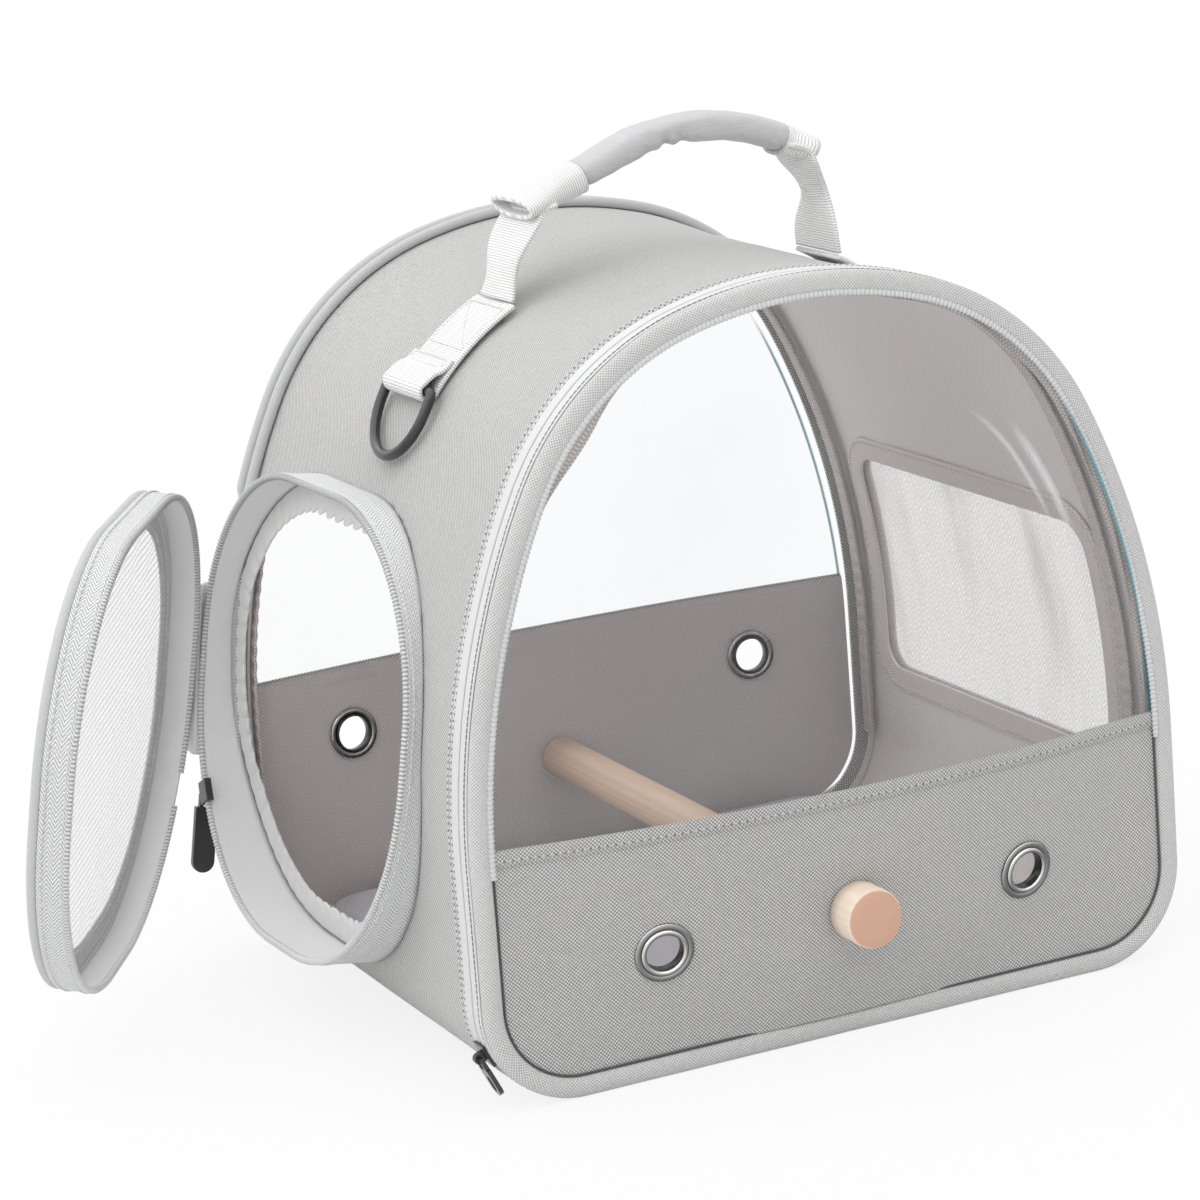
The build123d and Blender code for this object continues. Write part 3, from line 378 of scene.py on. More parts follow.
def archRows(step, span=None, d=0.0, y=0.0):
    s = spread(archHalf, step, span)
    x, z, nx, nz = trace(archShape, s, d)
    return np.stack([x, 0 * x + y, z], -1), np.stack([nx, 0 * x, nz], -1), np.tile(sideways, (len(s), 1)), s


def planeRows(outline, plane, s, d=0.0, w=0.0):
    u, v, nu, nv = trace(outline, s, d)
    out = nu[:, None] * plane["x"] + nv[:, None] * plane["y"]
    return onPlane(plane, u, v, w), out, np.tile(plane["z"], (len(s), 1)), s


def doorRows(plane, step, span=None, d=0.0, w=0.0):
    return planeRows(doorShape, plane, spread(doorHalf, step, span), d, w)


def roundProfile(a, b, radius, count=14, flatten=1.0):
    t = np.linspace(0, 2 * math.pi, count, endpoint=False)
    return np.stack([a + radius * flatten * np.cos(t), b + radius * np.sin(t)], -1)


# Closed band section with rounded edges, between two corners a0..a1 (out) and b0..b1 (back)
def bandProfile(a0, a1, b0, b1, radius=0.5, count=4, inner=4):
    radius = min(radius, abs(a1 - a0) / 2 * 0.98, abs(b1 - b0) / 2 * 0.98)
    low, high = (a0 + radius, b0 + radius), (a1 - radius, b1 - radius)
    corners = [high, (low[0], high[1]), low, (high[0], low[1])]
    arcs = []
    for number, corner in enumerate(corners):
        t = np.linspace(0, quarter, count) + number * quarter
        arcs.append(corner + radius * np.stack([np.cos(t), np.sin(t)], -1))
    full = []
    for arc, follow in zip(arcs, arcs[1:] + arcs[:1]):
        full += [arc, arc[-1] + (follow[0] - arc[-1]) * np.linspace(0, 1, inner + 2)[1:-1, None]]
    return np.concatenate(full)


# Rows along a smooth line of points; out and back are kept square to the line
def pathRows(points):
    ahead = unit(np.gradient(points, axis=0))
    out = unit(np.cross(sideways, ahead))
    return points, out, unit(np.cross(ahead, out)), spacing(points)


# Catmull-Rom stretch between the middle two of four points
def spline(a, b, c, d, t):
    return 0.5 * (2 * b + (c - a) * t + (2 * a - 5 * b + 4 * c - d) * t**2 + (3 * b - a - 3 * c + d) * t**3)


# Points before and after a line, so that its first and last stretches are splines too
def extended(points):
    return np.concatenate([2 * points[:1] - points[1:2], points, 2 * points[-1:] - points[-2:-1]])


def evenly(line, step):
    run = spacing(line)
    even = np.linspace(0, run[-1], int(run[-1] / step))
    return np.stack([np.interp(even, run, column) for column in line.T], -1)


def throughPoints(points, step):
    p = extended(points)
    t = np.linspace(0, 1, 24, endpoint=False)[:, None]
    return evenly(np.concatenate([spline(*p[k:k + 4], t) for k in range(len(p) - 3)] + [p[-2:-1]]), step)


# Line of (x, z) points stood up at one y
def standing(line, y):
    return np.insert(line, 1, y, axis=1)


# Stitches: short round-ended threads laid along a line, each a six-sided tube of four rings
def stitchMesh(points, lift, sizes, height=0.35, closed=False, begin=0.2):
    pitch, length, width = sizes
    lift = np.broadcast_to(lift, points.shape)
    if closed:
        points, lift = np.concatenate([points, points[:1]]), np.concatenate([lift, lift[:1]])
    run = spacing(points)
    starts = np.arange(pitch * begin, run[-1] - length, pitch)
    at = starts[:, None] + np.array([0.0, 0.14, 0.86, 1.0]) * length
    girth = np.array([0.25, 1.0, 1.0, 0.25])
    centre = np.stack([np.interp(at, run, column) for column in points.T], -1)
    up = unit(np.stack([np.interp(at, run, column) for column in lift.T], -1))
    across = unit(np.cross(up, unit(centre[:, -1:] - centre[:, :1])))
    turn = np.arange(6) * math.pi / 3
    ring = (np.cos(turn)[:, None] * across[:, :, None] * width / 2
            + np.sin(turn)[:, None] * up[:, :, None] * height) * girth[:, None, None]
    base = (np.arange(len(starts)) * 24)[:, None, None]
    r, k = np.meshgrid(np.arange(3), np.arange(6), indexing="ij")
    k2 = (k + 1) % 6
    quads = np.stack([r * 6 + k, r * 6 + k2, (r + 1) * 6 + k2, (r + 1) * 6 + k], -1).reshape(-1, 4)
    sides = (base + quads).reshape(-1, 4)
    caps = np.concatenate([base[:, 0] + np.arange(6)[::-1], base[:, 0] + 18 + np.arange(6)])
    corners = (centre[:, :, None] + ring).reshape(-1, 3) * mm
    mesh = bpy.data.meshes.new("stitches")
    mesh.from_pydata(corners.tolist(), [], sides.tolist() + caps.tolist())
    shadeSmooth(mesh)
    mesh.uv_layers.new(name="flat")
    return mesh


print("helpers ready")


# Shader maths as plain expressions: a socket that adds its own Math nodes
def maths(operation, swapped=False):
    def apply(self, *others):
        values = [*others, self] if swapped else [self, *others]
        return self.paint.add("ShaderNodeMath", values, operation=operation)
    return apply


class Flow:
    def __init__(self, paint, socket):
        self.paint, self.socket = paint, socket

    __add__ = __radd__ = maths("ADD")
    __sub__, __rsub__ = maths("SUBTRACT"), maths("SUBTRACT", swapped=True)
    __mul__ = __rmul__ = maths("MULTIPLY")
    __truediv__, __pow__ = maths("DIVIDE"), maths("POWER")
    sine, size, floor, part = maths("SINE"), maths("ABSOLUTE"), maths("FLOOR"), maths("FRACT")
    least, most = maths("MINIMUM"), maths("MAXIMUM")

    def wave(self, pitch):
        return (self * (2 * math.pi / pitch)).sine()

    def smooth(self, low, high):
        steps = {"interpolation_type": "SMOOTHSTEP"}
        return self.paint.add("ShaderNodeMapRange", {0: self, 1: low, 2: high}, **steps)


class Paint:
    def __init__(self, name, owner=None, end="ShaderNodeOutputMaterial"):
        self.material = owner or bpy.data.materials.new(name)
        self.material.use_nodes = True
        self.tree = self.material.node_tree
        self.tree.nodes.clear()
        self.end = self.tree.nodes.new(end)

    # One method for every node: its type, the values or links of its inputs, then its settings
    def add(self, kind, inputs=(), output=0, **settings):
        node = self.tree.nodes.new(kind)
        for key, value in settings.items():
            setattr(node, key, value)
        for key, value in inputs.items() if isinstance(inputs, dict) else enumerate(inputs):
            socket = node.inputs[key]
            if isinstance(value, Flow):
                self.tree.links.new(value.socket, socket)
            else:
                socket.default_value = (*value, 1.0) if socket.type == "RGBA" else value
        return Flow(self, node.outputs[output])

    def parts(self, vector):
        node = self.add("ShaderNodeSeparateXYZ", [vector]).socket.node
        return [Flow(self, socket) for socket in node.outputs]

    # The piece's flat map and its place in the room, both in millimetres
    def surface(self):
        u, v, _ = self.parts(self.add("ShaderNodeUVMap", uv_map="flat"))
        return u * 1000.0, v * 1000.0

    def placeParts(self):
        return [part * 1000.0 for part in self.parts(self.add("ShaderNodeTexCoord", output="Object"))]

    def noise(self, scale, detail=3.0, rough=0.5, stretch=None):
        where = self.add("ShaderNodeTexCoord", output="Object")
        if stretch:
            where = self.add("ShaderNodeVectorMath", [where, stretch], operation="MULTIPLY")
        values = {"Vector": where, "Scale": scale, "Detail": detail, "Roughness": rough}
        return self.add("ShaderNodeTexNoise", values)

    def mix(self, share, first, second):
        return self.add("ShaderNodeMix", {0: share, 6: first, 7: second}, 2, data_type="RGBA")

    def bump(self, height, distance):
        return self.add("ShaderNodeBump", {"Strength": 1.0, "Distance": distance * mm, "Height": height})

    def close(self, shader):
        self.tree.links.new(shader.socket, self.end.inputs["Surface"])
        return self.material

    def finish(self, colour, roughness, bump, **more):
        values = {key.replace("_", " "): value for key, value in more.items()}
        values.update({"Base Color": colour, "Roughness": roughness, "Normal": bump})
        return self.close(self.add("ShaderNodeBsdfPrincipled", values))


def dim(colour, share):
    return tuple(part * share for part in colour)


# Basket weave: two threads over two, with the upper thread's rounded back as height
def weaveHeight(u, v, pitch):
    across, along = u.wave(2 * pitch), v.wave(2 * pitch)
    over = (across * along).smooth(-0.25, 0.25)
    upper = across.size() * 0.6 + u.wave(pitch).size() * 0.4
    lower = along.size() * 0.6 + v.wave(pitch).size() * 0.4
    return over * upper + (1 - over) * lower, over


def oxfordMaterial(name, light, dark, pitch, bump, sheen=0.12, gloss=0.3):
    p = Paint(name)
    height, over = weaveHeight(*p.surface(), pitch)
    slub, cloud = p.noise(420.0, 2.0), p.noise(11.0)
    back = height.smooth(0.1, 0.95)
    tone = over * (back * 0.5 + 0.42) + (1 - over) * (back * 0.3 - 0.03) + slub * 0.16 - 0.06
    middle = tuple((a + b) / 2 for a, b in zip(light, dark))
    base = p.mix((cloud - 0.5) * 0.3 + 0.1, p.mix(tone, dark, light), middle)
    return p.finish(base, 0.6, p.bump(height + slub * 0.3, bump), Sheen_Weight=sheen, Sheen_Roughness=0.4,
                    Specular_IOR_Level=gloss)


# Woven tape: plain ribs, or ribs that fold to and fro as herringbone
def tapeMaterial(name, colour, ribs, herringbone=0.0, bump=0.06, depth=0.7):
    p = Paint(name)
    u, v = p.surface()
    if herringbone:
        height = (((v / herringbone).part() - 0.5).size() * herringbone * 1.6 + u).wave(ribs) * 0.5 + 0.5
    else:
        height = u.wave(ribs) * v.wave(ribs) * 0.5 + 0.5
    fuzz = p.noise(600.0, 2.0)
    base = p.mix(height * 0.85 + fuzz * 0.2, dim(colour, depth), colour)
    base = p.mix(p.noise(14.0) * 0.3, base, dim(colour, 0.93))
    return p.finish(base, 0.8, p.bump(height + fuzz * 0.4, bump), Sheen_Weight=0.1, Specular_IOR_Level=0.3)


def webbingMaterial(name, colour, rib, warp):
    p = Paint(name)
    u, v = p.surface()
    tooth = (((v / 2.5).floor() * 0.5 + u / rib).part() - 0.5).size() * 2.0
    height = (u.wave(rib) * 0.5 + 0.5) * 0.5 + tooth * 0.3 + v.wave(warp).size() * 0.2
    fuzz = p.noise(500.0, 2.0)
    base = p.mix(height.smooth(0.10, 0.65) * 0.95 + fuzz * 0.1, dim(colour, 0.46), colour)
    return p.finish(base, 0.78, p.bump(height + fuzz * 0.3, 0.16), Sheen_Weight=0.12, Specular_IOR_Level=0.32)


# Knitted mesh: small holes, raised lines every few millimetres, and painted shade along soft fold lines that
# are not in its shape, where it is also a little denser
def meshMaterial(name, colour, shade, pitch, solid, line, rows, zigzag=0.0, paintedFolds=0.0):
    p = Paint(name)
    u, v = p.surface()
    slant = v * 1.732
    holes = ((u + slant).wave(2 * pitch) * (u - slant).wave(2 * pitch)).size()
    across = ((u / zigzag).part() - 0.5).size() * zigzag * 1.3 if zigzag else u * 0.1
    ridge = ((across + v).wave(rows) * 0.5 + 0.5).smooth(0.4, 0.9)
    base = p.mix(holes * 0.2 + ridge * 0.5, colour, shade)
    alpha = (1 - holes.smooth(0.55, 0.8)) * 0.06 + ridge * line + solid
    if paintedFolds:
        # painted shade of soft fold lines, where the mesh is also denser
        fold = p.noise(26.0, 2.0, stretch=(1.0, 1.0, 0.22)).smooth(0.45, 0.75) * paintedFolds
        base = p.mix(fold, base, dim(shade, 0.72))
        alpha = alpha + fold * 0.4
    return p.finish(base, 0.75, p.bump(1 - holes, 0.06), Alpha=alpha, Specular_IOR_Level=0.3)


sheetLook = {
    "tint": (0.992, 0.994, 0.996), "gloss": (0.93, 0.955, 0.97), "edge": (0.10, 0.36, 0.44), "level": 0.02,
    "reflectionStreaks": ((26.0, 2.6, 0.25, 0.85, 0.34), (33.0, 1.6, 0.35, 1.0, 0.26), (12.0, 1.6, 1.8, 2.4, 0.08)),
}


# Clear sheet: see-through, with gloss that grows towards grazing, soft bent arcs of painted reflection inside
# its rim and a teal line painted inside the rim on one side: the sheet's own tint, and the light refracted
# through its cut edge;
# the piece's map holds the distance from the rim and the angle about the middle.
# Painted reflection arc: distance from the rim, half width, first and last angle, strength.
def clearMaterial(name, paintedReflections):
    p = Paint(name)
    inside, angle = p.surface()
    angle = angle * 0.01
    # painted refraction line: a teal band inside the rim, only on one side
    edge = (1 - (inside - 1.6).size() / 0.9).most(0.0) * (1 - angle.size().smooth(0.5, 0.75))
    haze = p.noise(9.0).smooth(0.5, 0.8) * 0.03
    facing = p.add("ShaderNodeLayerWeight", {"Blend": 0.5}, "Facing")
    share = facing ** 5.0 * 0.8 + sheetLook["level"] + haze + edge * 0.75
    bend = inside + (angle * 5.0).sine() * 1.5
    # painted reflection arcs
    for far, wide, low, high, strength in sheetLook["reflectionStreaks"] if paintedReflections else ():
        line = (1 - (bend - far).size() / wide).most(0.0) * angle.smooth(low, low + 0.25)
        share = share + line * (1 - angle.smooth(high - 0.25, high)) * strength
    colour = p.mix(edge.smooth(0.05, 0.4), sheetLook["gloss"], sheetLook["edge"])
    tint = p.add("ShaderNodeBsdfTransparent", {"Color": sheetLook["tint"]})
    bump = p.bump(p.noise(14.0, 1.0), 0.25)
    values = {"Base Color": colour, "Roughness": 0.08, "Specular IOR Level": 0.8, "Normal": bump}
    gloss = p.add("ShaderNodeBsdfPrincipled", values)
    return p.close(p.add("ShaderNodeMixShader", [share.least(0.95), tint, gloss]))


def enamelMaterial(name, colour, roughness):
    p = Paint(name)
    wide = p.noise(40.0)
    base = p.mix(wide * 0.35, colour, tuple(part + 0.01 for part in dim(colour, 1.12)))
    speck = p.bump(p.noise(900.0, 2.0), 0.02)
    return p.finish(base, wide * 0.15 + (roughness - 0.07), speck, Coat_Weight=0.4)


# Polished metal: fine scratches and, with turn, a painted reflection: colour darkened where the surface turns
# down and away, as a bright room's reflection would darken it
def metalMaterial(name, colour, roughness, turn=0.0):
    p = Paint(name)
    scratch = p.noise(180.0, 4.0, 0.6, (1.0, 6.0, 1.0))
    base = p.mix(p.noise(60.0) * 0.5, colour, dim(colour, 0.72))
    if turn:
        # painted reflection: the base colour follows which way the surface faces
        x, _, z = p.parts(p.add("ShaderNodeNewGeometry", output="Normal"))
        paintedLight = (z * 0.9 - x * 0.5).smooth(-0.35, 0.45)
        base = p.mix((1 - paintedLight) * turn, base, dim(colour, 0.12))
    return p.finish(base, scratch * 0.2 + (roughness - 0.1), p.bump(scratch, 0.012), Metallic=1.0)


def coilMaterial(name, colour, pitch, depth=0.45):
    p = Paint(name)
    tooth = p.surface()[0].wave(pitch) * 0.5 + 0.5
    base = p.mix(tooth, dim(colour, depth), colour)
    return p.finish(base, 0.42, p.bump(tooth, 0.2), Specular_IOR_Level=0.5)


woodLook = {
    "dowel": ((0.86, 0.68, 0.54), (0.68, 0.49, 0.36)), "knob": ((0.98, 0.85, 0.72), (0.86, 0.69, 0.56)),
    "end": ((0.74, 0.46, 0.335), (0.62, 0.37, 0.26)), "pith": 22.0,
}


# Turned wood along Y: rings about an axis under the dowel's own, stretched fibres, and a darker sawn end
def woodMaterial(name, axisZ, endY=None):
    p = Paint(name)
    x, y, z = p.placeParts()
    grain = p.noise(260.0, 4.0, 0.6, (1.0, 0.08, 1.0))
    fleck = p.noise(900.0, 2.0, stretch=(1.0, 0.25, 1.0))
    up = z - axisZ + woodLook["pith"]
    rings = ((x * x + up * up) ** 0.5 * 2.6 + grain * 5.0).sine() * 0.5 + 0.5
    tone = grain * 0.55 + rings * 0.3 + fleck * 0.2 - 0.05
    base = p.mix(tone, *woodLook["dowel" if endY is None else "knob"])
    if endY is not None:
        face = (y * -1.0).smooth(-endY - 0.5, -endY - 0.2)
        cloud = p.noise(55.0, 2.0, stretch=(1.0, 1.0, 3.0))
        sawn = p.mix(rings * 0.06 + p.noise(700.0) * 0.3 + cloud * 0.5, *woodLook["end"])
        base = p.mix(face, base, sawn)
    return p.finish(base, 0.62, p.bump(grain + fleck * 0.4, 0.05), Specular_IOR_Level=0.35)


def threadMaterial(name, colour):
    p = Paint(name)
    twist = p.noise(1500.0, 2.0)
    return p.finish(p.mix(twist, dim(colour, 0.75), colour), 0.7, p.bump(twist, 0.05), Sheen_Weight=0.1)


def padMaterial(name, colour, dark):
    p = Paint(name)
    x, y, z = p.placeParts()
    height = weaveHeight(x + z * 0.6, y + z * 0.6, 1.25)[0]
    fuzz = p.noise(300.0)
    base = p.mix(height * 0.5 + fuzz * 0.35, dark, colour)
    base = p.mix(p.noise(16.0) * 0.35, base, dim(colour, 0.9))
    bump = p.bump(height * 0.6 + fuzz * 0.8, 0.12)
    return p.finish(base, 0.88, bump, Sheen_Weight=0.25, Specular_IOR_Level=0.25)


def boardMaterial(name, colour):
    p = Paint(name)
    fibre = p.noise(500.0, 4.0, 0.7)
    return p.finish(p.mix(fibre, dim(colour, 0.8), colour), 0.8, p.bump(fibre, 0.05))


oxford = oxfordMaterial("oxfordGrey", (0.98, 0.972, 0.957), (0.06, 0.059, 0.057), 0.8, 0.2, 0.6, 0.5)
oxfordPale = oxfordMaterial("oxfordBinding", (0.66, 0.655, 0.64), (0.42, 0.415, 0.41), 0.8, 0.12)
lining = oxfordMaterial("liningGrey", (0.98, 0.935, 0.915), (0.62, 0.59, 0.575), 0.9, 0.08)
# painted shade: the grey lining again, darker, for the rear band inside the cabin
liningPaintedShade = oxfordMaterial("liningRearPaintedShade", (0.80, 0.755, 0.745), (0.49, 0.465, 0.455), 0.9, 0.08)
liningBrown = oxfordMaterial("liningGathered", (0.86, 0.80, 0.76), (0.36, 0.32, 0.30), 0.9, 0.1)
liningWindow = oxfordMaterial("liningBinding", (0.94, 0.885, 0.85), (0.52, 0.48, 0.46), 0.9, 0.1)
tapePale = tapeMaterial("zipTapePale", (0.76, 0.765, 0.765), 0.8, depth=0.86)
tapeSmooth = tapeMaterial("collarLining", (0.86, 0.865, 0.87), 1.0, bump=0.08, depth=0.84)
tapeRib = tapeMaterial("collarHerringbone", (0.98, 0.985, 0.995), 2.0, herringbone=5.0, bump=0.25, depth=0.36)
pipingWoven = tapeMaterial("pipingWoven", (0.90, 0.90, 0.895), 1.4, bump=0.25, depth=0.28)
pipingSmooth = tapeMaterial("pipingFine", (0.62, 0.625, 0.63), 0.9, bump=0.08, depth=0.8)
ruffleCloth = tapeMaterial("ruffleElastic", (0.84, 0.835, 0.83), 1.0, bump=0.12, depth=0.84)
webbing = webbingMaterial("webbingRibbed", (0.95, 0.95, 0.945), rib=1.12, warp=0.95)
doorMesh = meshMaterial("doorMeshWhite", (0.97, 0.97, 0.97), (0.56, 0.56, 0.57),
                        pitch=1.0, solid=0.0, line=0.31, rows=3.1)
sideMesh = meshMaterial("sideMeshWhite", (0.97, 0.94, 0.925), (0.74, 0.69, 0.66),
                        pitch=1.3, solid=0.14, line=0.24, rows=2.6, zigzag=9.0, paintedFolds=0.45)
clearSheets = {"front": clearMaterial("clearSheet", True), "rear": clearMaterial("clearSheetRear", False)}
coilGrey = coilMaterial("zipCoilGrey", (0.30, 0.30, 0.305), 1.6)
coilPale = coilMaterial("zipCoilPale", (0.80, 0.805, 0.81), 1.7)
overlock = coilMaterial("overlockPale", (0.74, 0.745, 0.75), 1.9, 0.83)
# Nickel in three copies for the eyelets' rows: with painted reflection, a painted highlight and a painted
# shade
nickel = metalMaterial("nickelPaintedReflection", (0.46, 0.455, 0.45), 0.26, 0.8)
paintedShadeNickel = metalMaterial("nickelPaintedShade", (0.07, 0.07, 0.07), 0.3)
paintedHighlightNickel = metalMaterial("nickelPaintedHighlight", (0.78, 0.775, 0.77), 0.18, 0.9)
steel = metalMaterial("springSteel", (0.66, 0.66, 0.66), 0.35)
black = enamelMaterial("blackEnamel", (0.018, 0.018, 0.02), 0.32)
thread = threadMaterial("threadGrey", (0.66, 0.655, 0.645))
threadPale = threadMaterial("threadPale", (0.84, 0.84, 0.835))
# painted shade: dark thread for the shade in needle gaps and along seam lines
paintedStitchShade = threadMaterial("stitchPaintedShade", (0.24, 0.24, 0.245))
# painted shade: near-black, for the seam groove inside the front piping
paintedGrooveShade = threadMaterial("paintedGrooveShade", (0.09, 0.09, 0.095))
padCloth = padMaterial("padLavender", (0.66, 0.64, 0.70), (0.46, 0.45, 0.51))
gripCloth = padMaterial("gripCloth", (0.70, 0.70, 0.71), (0.44, 0.44, 0.45))
boardDark = boardMaterial("boardGrey", (0.30, 0.30, 0.30))
print("materials ready")


def sew(name, line, lift, sizes, sheet, body, slot, **more):
    addPiece(name, stitchMesh(line, lift, sizes, **more), sheet, body, slot=slot)


sideWindow = {"y": (-94.5, 101.3), "height": (74.0, 180.0), "corner": 16.0}
(y0, y1), (r0, r1), corner = sideWindow["y"], map(runAtHeight, sideWindow["height"]), sideWindow["corner"]
windowY, windowRun = (y0 + y1) / 2, (r0 + r1) / 2
windowShape = oblong((y1 - y0) / 2, (r1 - r0) / 2, corner, corner)


# Rounded window as a closed row: y along the cabin, r the run up the wall, with outward normals
def windowRows(grow, step):
    s = spread(halfLength(windowShape), step)
    y, r, ny, nr = trace(windowShape, s, grow)
    return y + windowY, r + windowRun, ny, nr, s


def wallPoint(y, r, d):
    x, z = trace(archShape, r, d)[:2]
    return np.stack(np.broadcast_arrays(x, y, z), -1)


# Cabin cloth: one closed sheet wrapped round the outline, outside and lining, that sags between its edges
shell = {
    "step": 3.2, "thickness": 2.6, "sag": 1.0, "roofSag": 2.6, "wrinkle": 0.55, "pitch": 26.0, "soft": 45.0,
    "rise": 0.6, "lip": 0.3, "doorInset": -1.2, "doorCut": (-60.0, 20.0), "windowCut": (90.0, 200.0),
}
y0, y1, thick = cabin["wallFront"], cabin["wallRear"], shell["thickness"]
across = np.linspace(y0, y1, int((y1 - y0) / shell["step"]))
loopY = np.r_[across, y1 + shell["lip"], across[::-1], y0 - shell["lip"]]
loopD = np.r_[0 * across, -thick / 2, 0 * across - thick, -thick / 2]
s, y = np.meshgrid(spread(archHalf, shell["step"]), loopY, indexing="ij")
soft = smoothStep(0, shell["soft"], np.clip(np.minimum(y - y0, y1 - y), 0, None))
upward = trace(archShape, s)[3]
standingPart = 1 - smoothStep(-0.6, -0.95, upward)
rs, ry = s / shell["pitch"], y / shell["pitch"]
pull = (waves(rs, ry, 3, 1.0) * 1.6 + waves(rs * 2.7, ry * 2.7, 5, 1.0) * 0.7) * shell["wrinkle"]
sag = soft * (shell["sag"] + shell["roofSag"] * smoothStep(0.80, 0.99, upward)) - pull * soft * standingPart
d = cabin["wallOut"] + loopD + np.minimum(-sag * standingPart, shell["rise"])
insideFaces = np.zeros(s.shape, int)
insideFaces[:, len(across):] = 1
sheet = gridMesh(wallPoint(y, s, d), np.stack([s, y], -1) * mm, True, True, insideFaces)
cloth = addPiece("cabinCloth", sheet, [oxford, lining], "cabin",
                 ("base_panel", "left_wall", "right_wall", "roof_panel"), "oxford")
u, v = trace(doorShape, np.linspace(0, 2 * doorHalf, 220, endpoint=False), shell["doorInset"])[:2]
cut(cloth, rim, u, v, *shell["doorCut"])
y, r = windowRows(0.0, 3.0)[:2]
wallPlane = {"origin": np.zeros(3), "x": sideways, "y": np.array([0, 0, 1.0]), "z": np.array([1.0, 0, 0])}
cut(cloth, wallPlane, y, trace(archShape, r, cabin["wallOut"])[1], *shell["windowCut"])
print("cabin cloth")


# Section: inner and outer distance from the outline, then front and rear y
def archBand(section, step=2.5, radius=0.5, ripple=None, span=None):
    return carry(archRows(step, span), bandProfile(*section, radius), span is None, ripple)


def archTube(out, y, radius, step, count, ripple=None, span=None, flatten=1.0):
    return carry(archRows(step, span), roundProfile(out, y, radius, count, flatten), span is None, ripple)


# Span of the outline from one side of the base over the roof to the other
def overRoof(past):
    return baseRun + past, 2 * archHalf - baseRun - past


# Unevenness along a piece, outward and backward: pitch, seed and size of each
def uneven(*both):
    return lambda s, a, b: [waves(s / pitch, 0 * s, seed, size) for pitch, seed, size in both]


def tapeRipple(s, a, b):
    return waves(s / 14.0, b / 30.0, 21, 0.22) * (a > 2.0), 0.0


# Zip coil: a small round-cornered cord whose height swells at every turn of the coil
def coilBand(rows, section, pitch=1.7, closed=False):
    middleA, middleB = (section[0] + section[1]) / 2, (section[2] + section[3]) / 2

    def turns(s, a, b):
        swell = np.cos(s * 2 * math.pi / pitch)
        return swell * 0.22 * np.sign(a - middleA), swell * 0.16 * np.sign(b - middleB)
    return carry(rows, bandProfile(*section, 0.6, 2, 1), closed, turns)


# Front edge, from the piping back to the walls
front = {
    "seam": -128.9, "coil": -123.8, "split": -122.1, "shellCoil": -121.1, "wall": -113.7, "zipEnd": 212.0,
    "coilOut": (4.75, 6.65), "piping": (3.9, -131.2, 2.75), "groove": (-0.85, -132.0, 0.5), "bandTop": 104.0,
}
edgeY = cabin["frontY"]
coilStep = 0.57
zipStart = (quarter - math.radians(front["zipEnd"] - 180.0)) * cabin["cornerRadius"]
zipRows, facingSpan, above = archRows(coilStep, overRoof(zipStart)), overRoof(105.0), overRoof(20.0)
piping = archTube(*front["piping"], 2.2, 24, uneven((9.0, 11, 0.10), (11.0, 12, 0.14)), flatten=1.55)
addPiece("frontPiping", piping, pipingWoven, "front_panel", ("front_piping",), "piping")
# painted shade: a thin dark tube lying in the groove inside the piping
addPiece("frontGrooveShade", archTube(*front["groove"], 3.0, 8), paintedGrooveShade, "front_panel", slot="piping")
gusset = [archBand((6.8, 8.05, front["seam"], front["split"]), ripple=tapeRipple),
          archBand((0.35, 8.0, front["seam"], front["seam"] + 1.2), 3.0, 0.45)]
addPiece("frontZipBandLower", gusset, tapePale, "front_panel", ("front_gusset",), "tape")
upper = archBand((6.8, 8.1, front["shellCoil"], front["wall"] + 0.4), ripple=tapeRipple)
addPiece("frontZipBandUpper", upper, tapePale, "cabin", ("front_zip_tape",), "tape")
edging = coilBand(archRows(coilStep, facingSpan), (-1.6, 1.0, edgeY - 2.3, edgeY - 0.7), 1.9)
addPiece("frontOverlock", edging, overlock, "front_panel", slot="piping")
panelCoil = coilBand(zipRows, (*front["coilOut"], front["coil"], front["split"]))
addPiece("frontCoilPanel", panelCoil, coilGrey, "front_panel", ("front_zip_coil_panel",), "coil")
cabinCoil = coilBand(zipRows, (*front["coilOut"], front["shellCoil"], front["shellCoil"] + 1.7))
addPiece("frontCoilCabin", cabinCoil, coilGrey, "cabin", ("front_zip_coil_cabin",), "coil")

# Loose facing behind the front piping, puffed out where it was eased in: place, half width, depth
zipFirst, zipLast = overRoof(zipStart)
facingPuffs = ((zipLast - 246.0, 24.0, 5.6), (zipLast - 150.0, 20.0, 1.2), (zipFirst + 262.0, 16.0, 1.8))


def facingPuff(s, a, b):
    puffs = sum(deep * bell(s, at, wide) for at, wide, deep in facingPuffs)
    top = puffs * (1 + waves(s / 16.0, 0 * s, 35, 0.22)) + waves(s / 15.0, 0 * s, 36, 0.35)
    sway = np.sin(s / 9.0 - a * 1.3 + waves(s / 25.0, 0 * s, 37, 2.0)) * 0.9 + 0.5
    inner = np.clip((0.6 - a) / 3.0, 0, 1)
    return -top * inner, sway * inner


facing = archBand((-2.4, 0.6, edgeY + 2.2, edgeY + 3.4), 0.9, 0.4, facingPuff, facingSpan)
addPiece("frontFacing", facing, liningBrown, "front_panel", slot="lining")


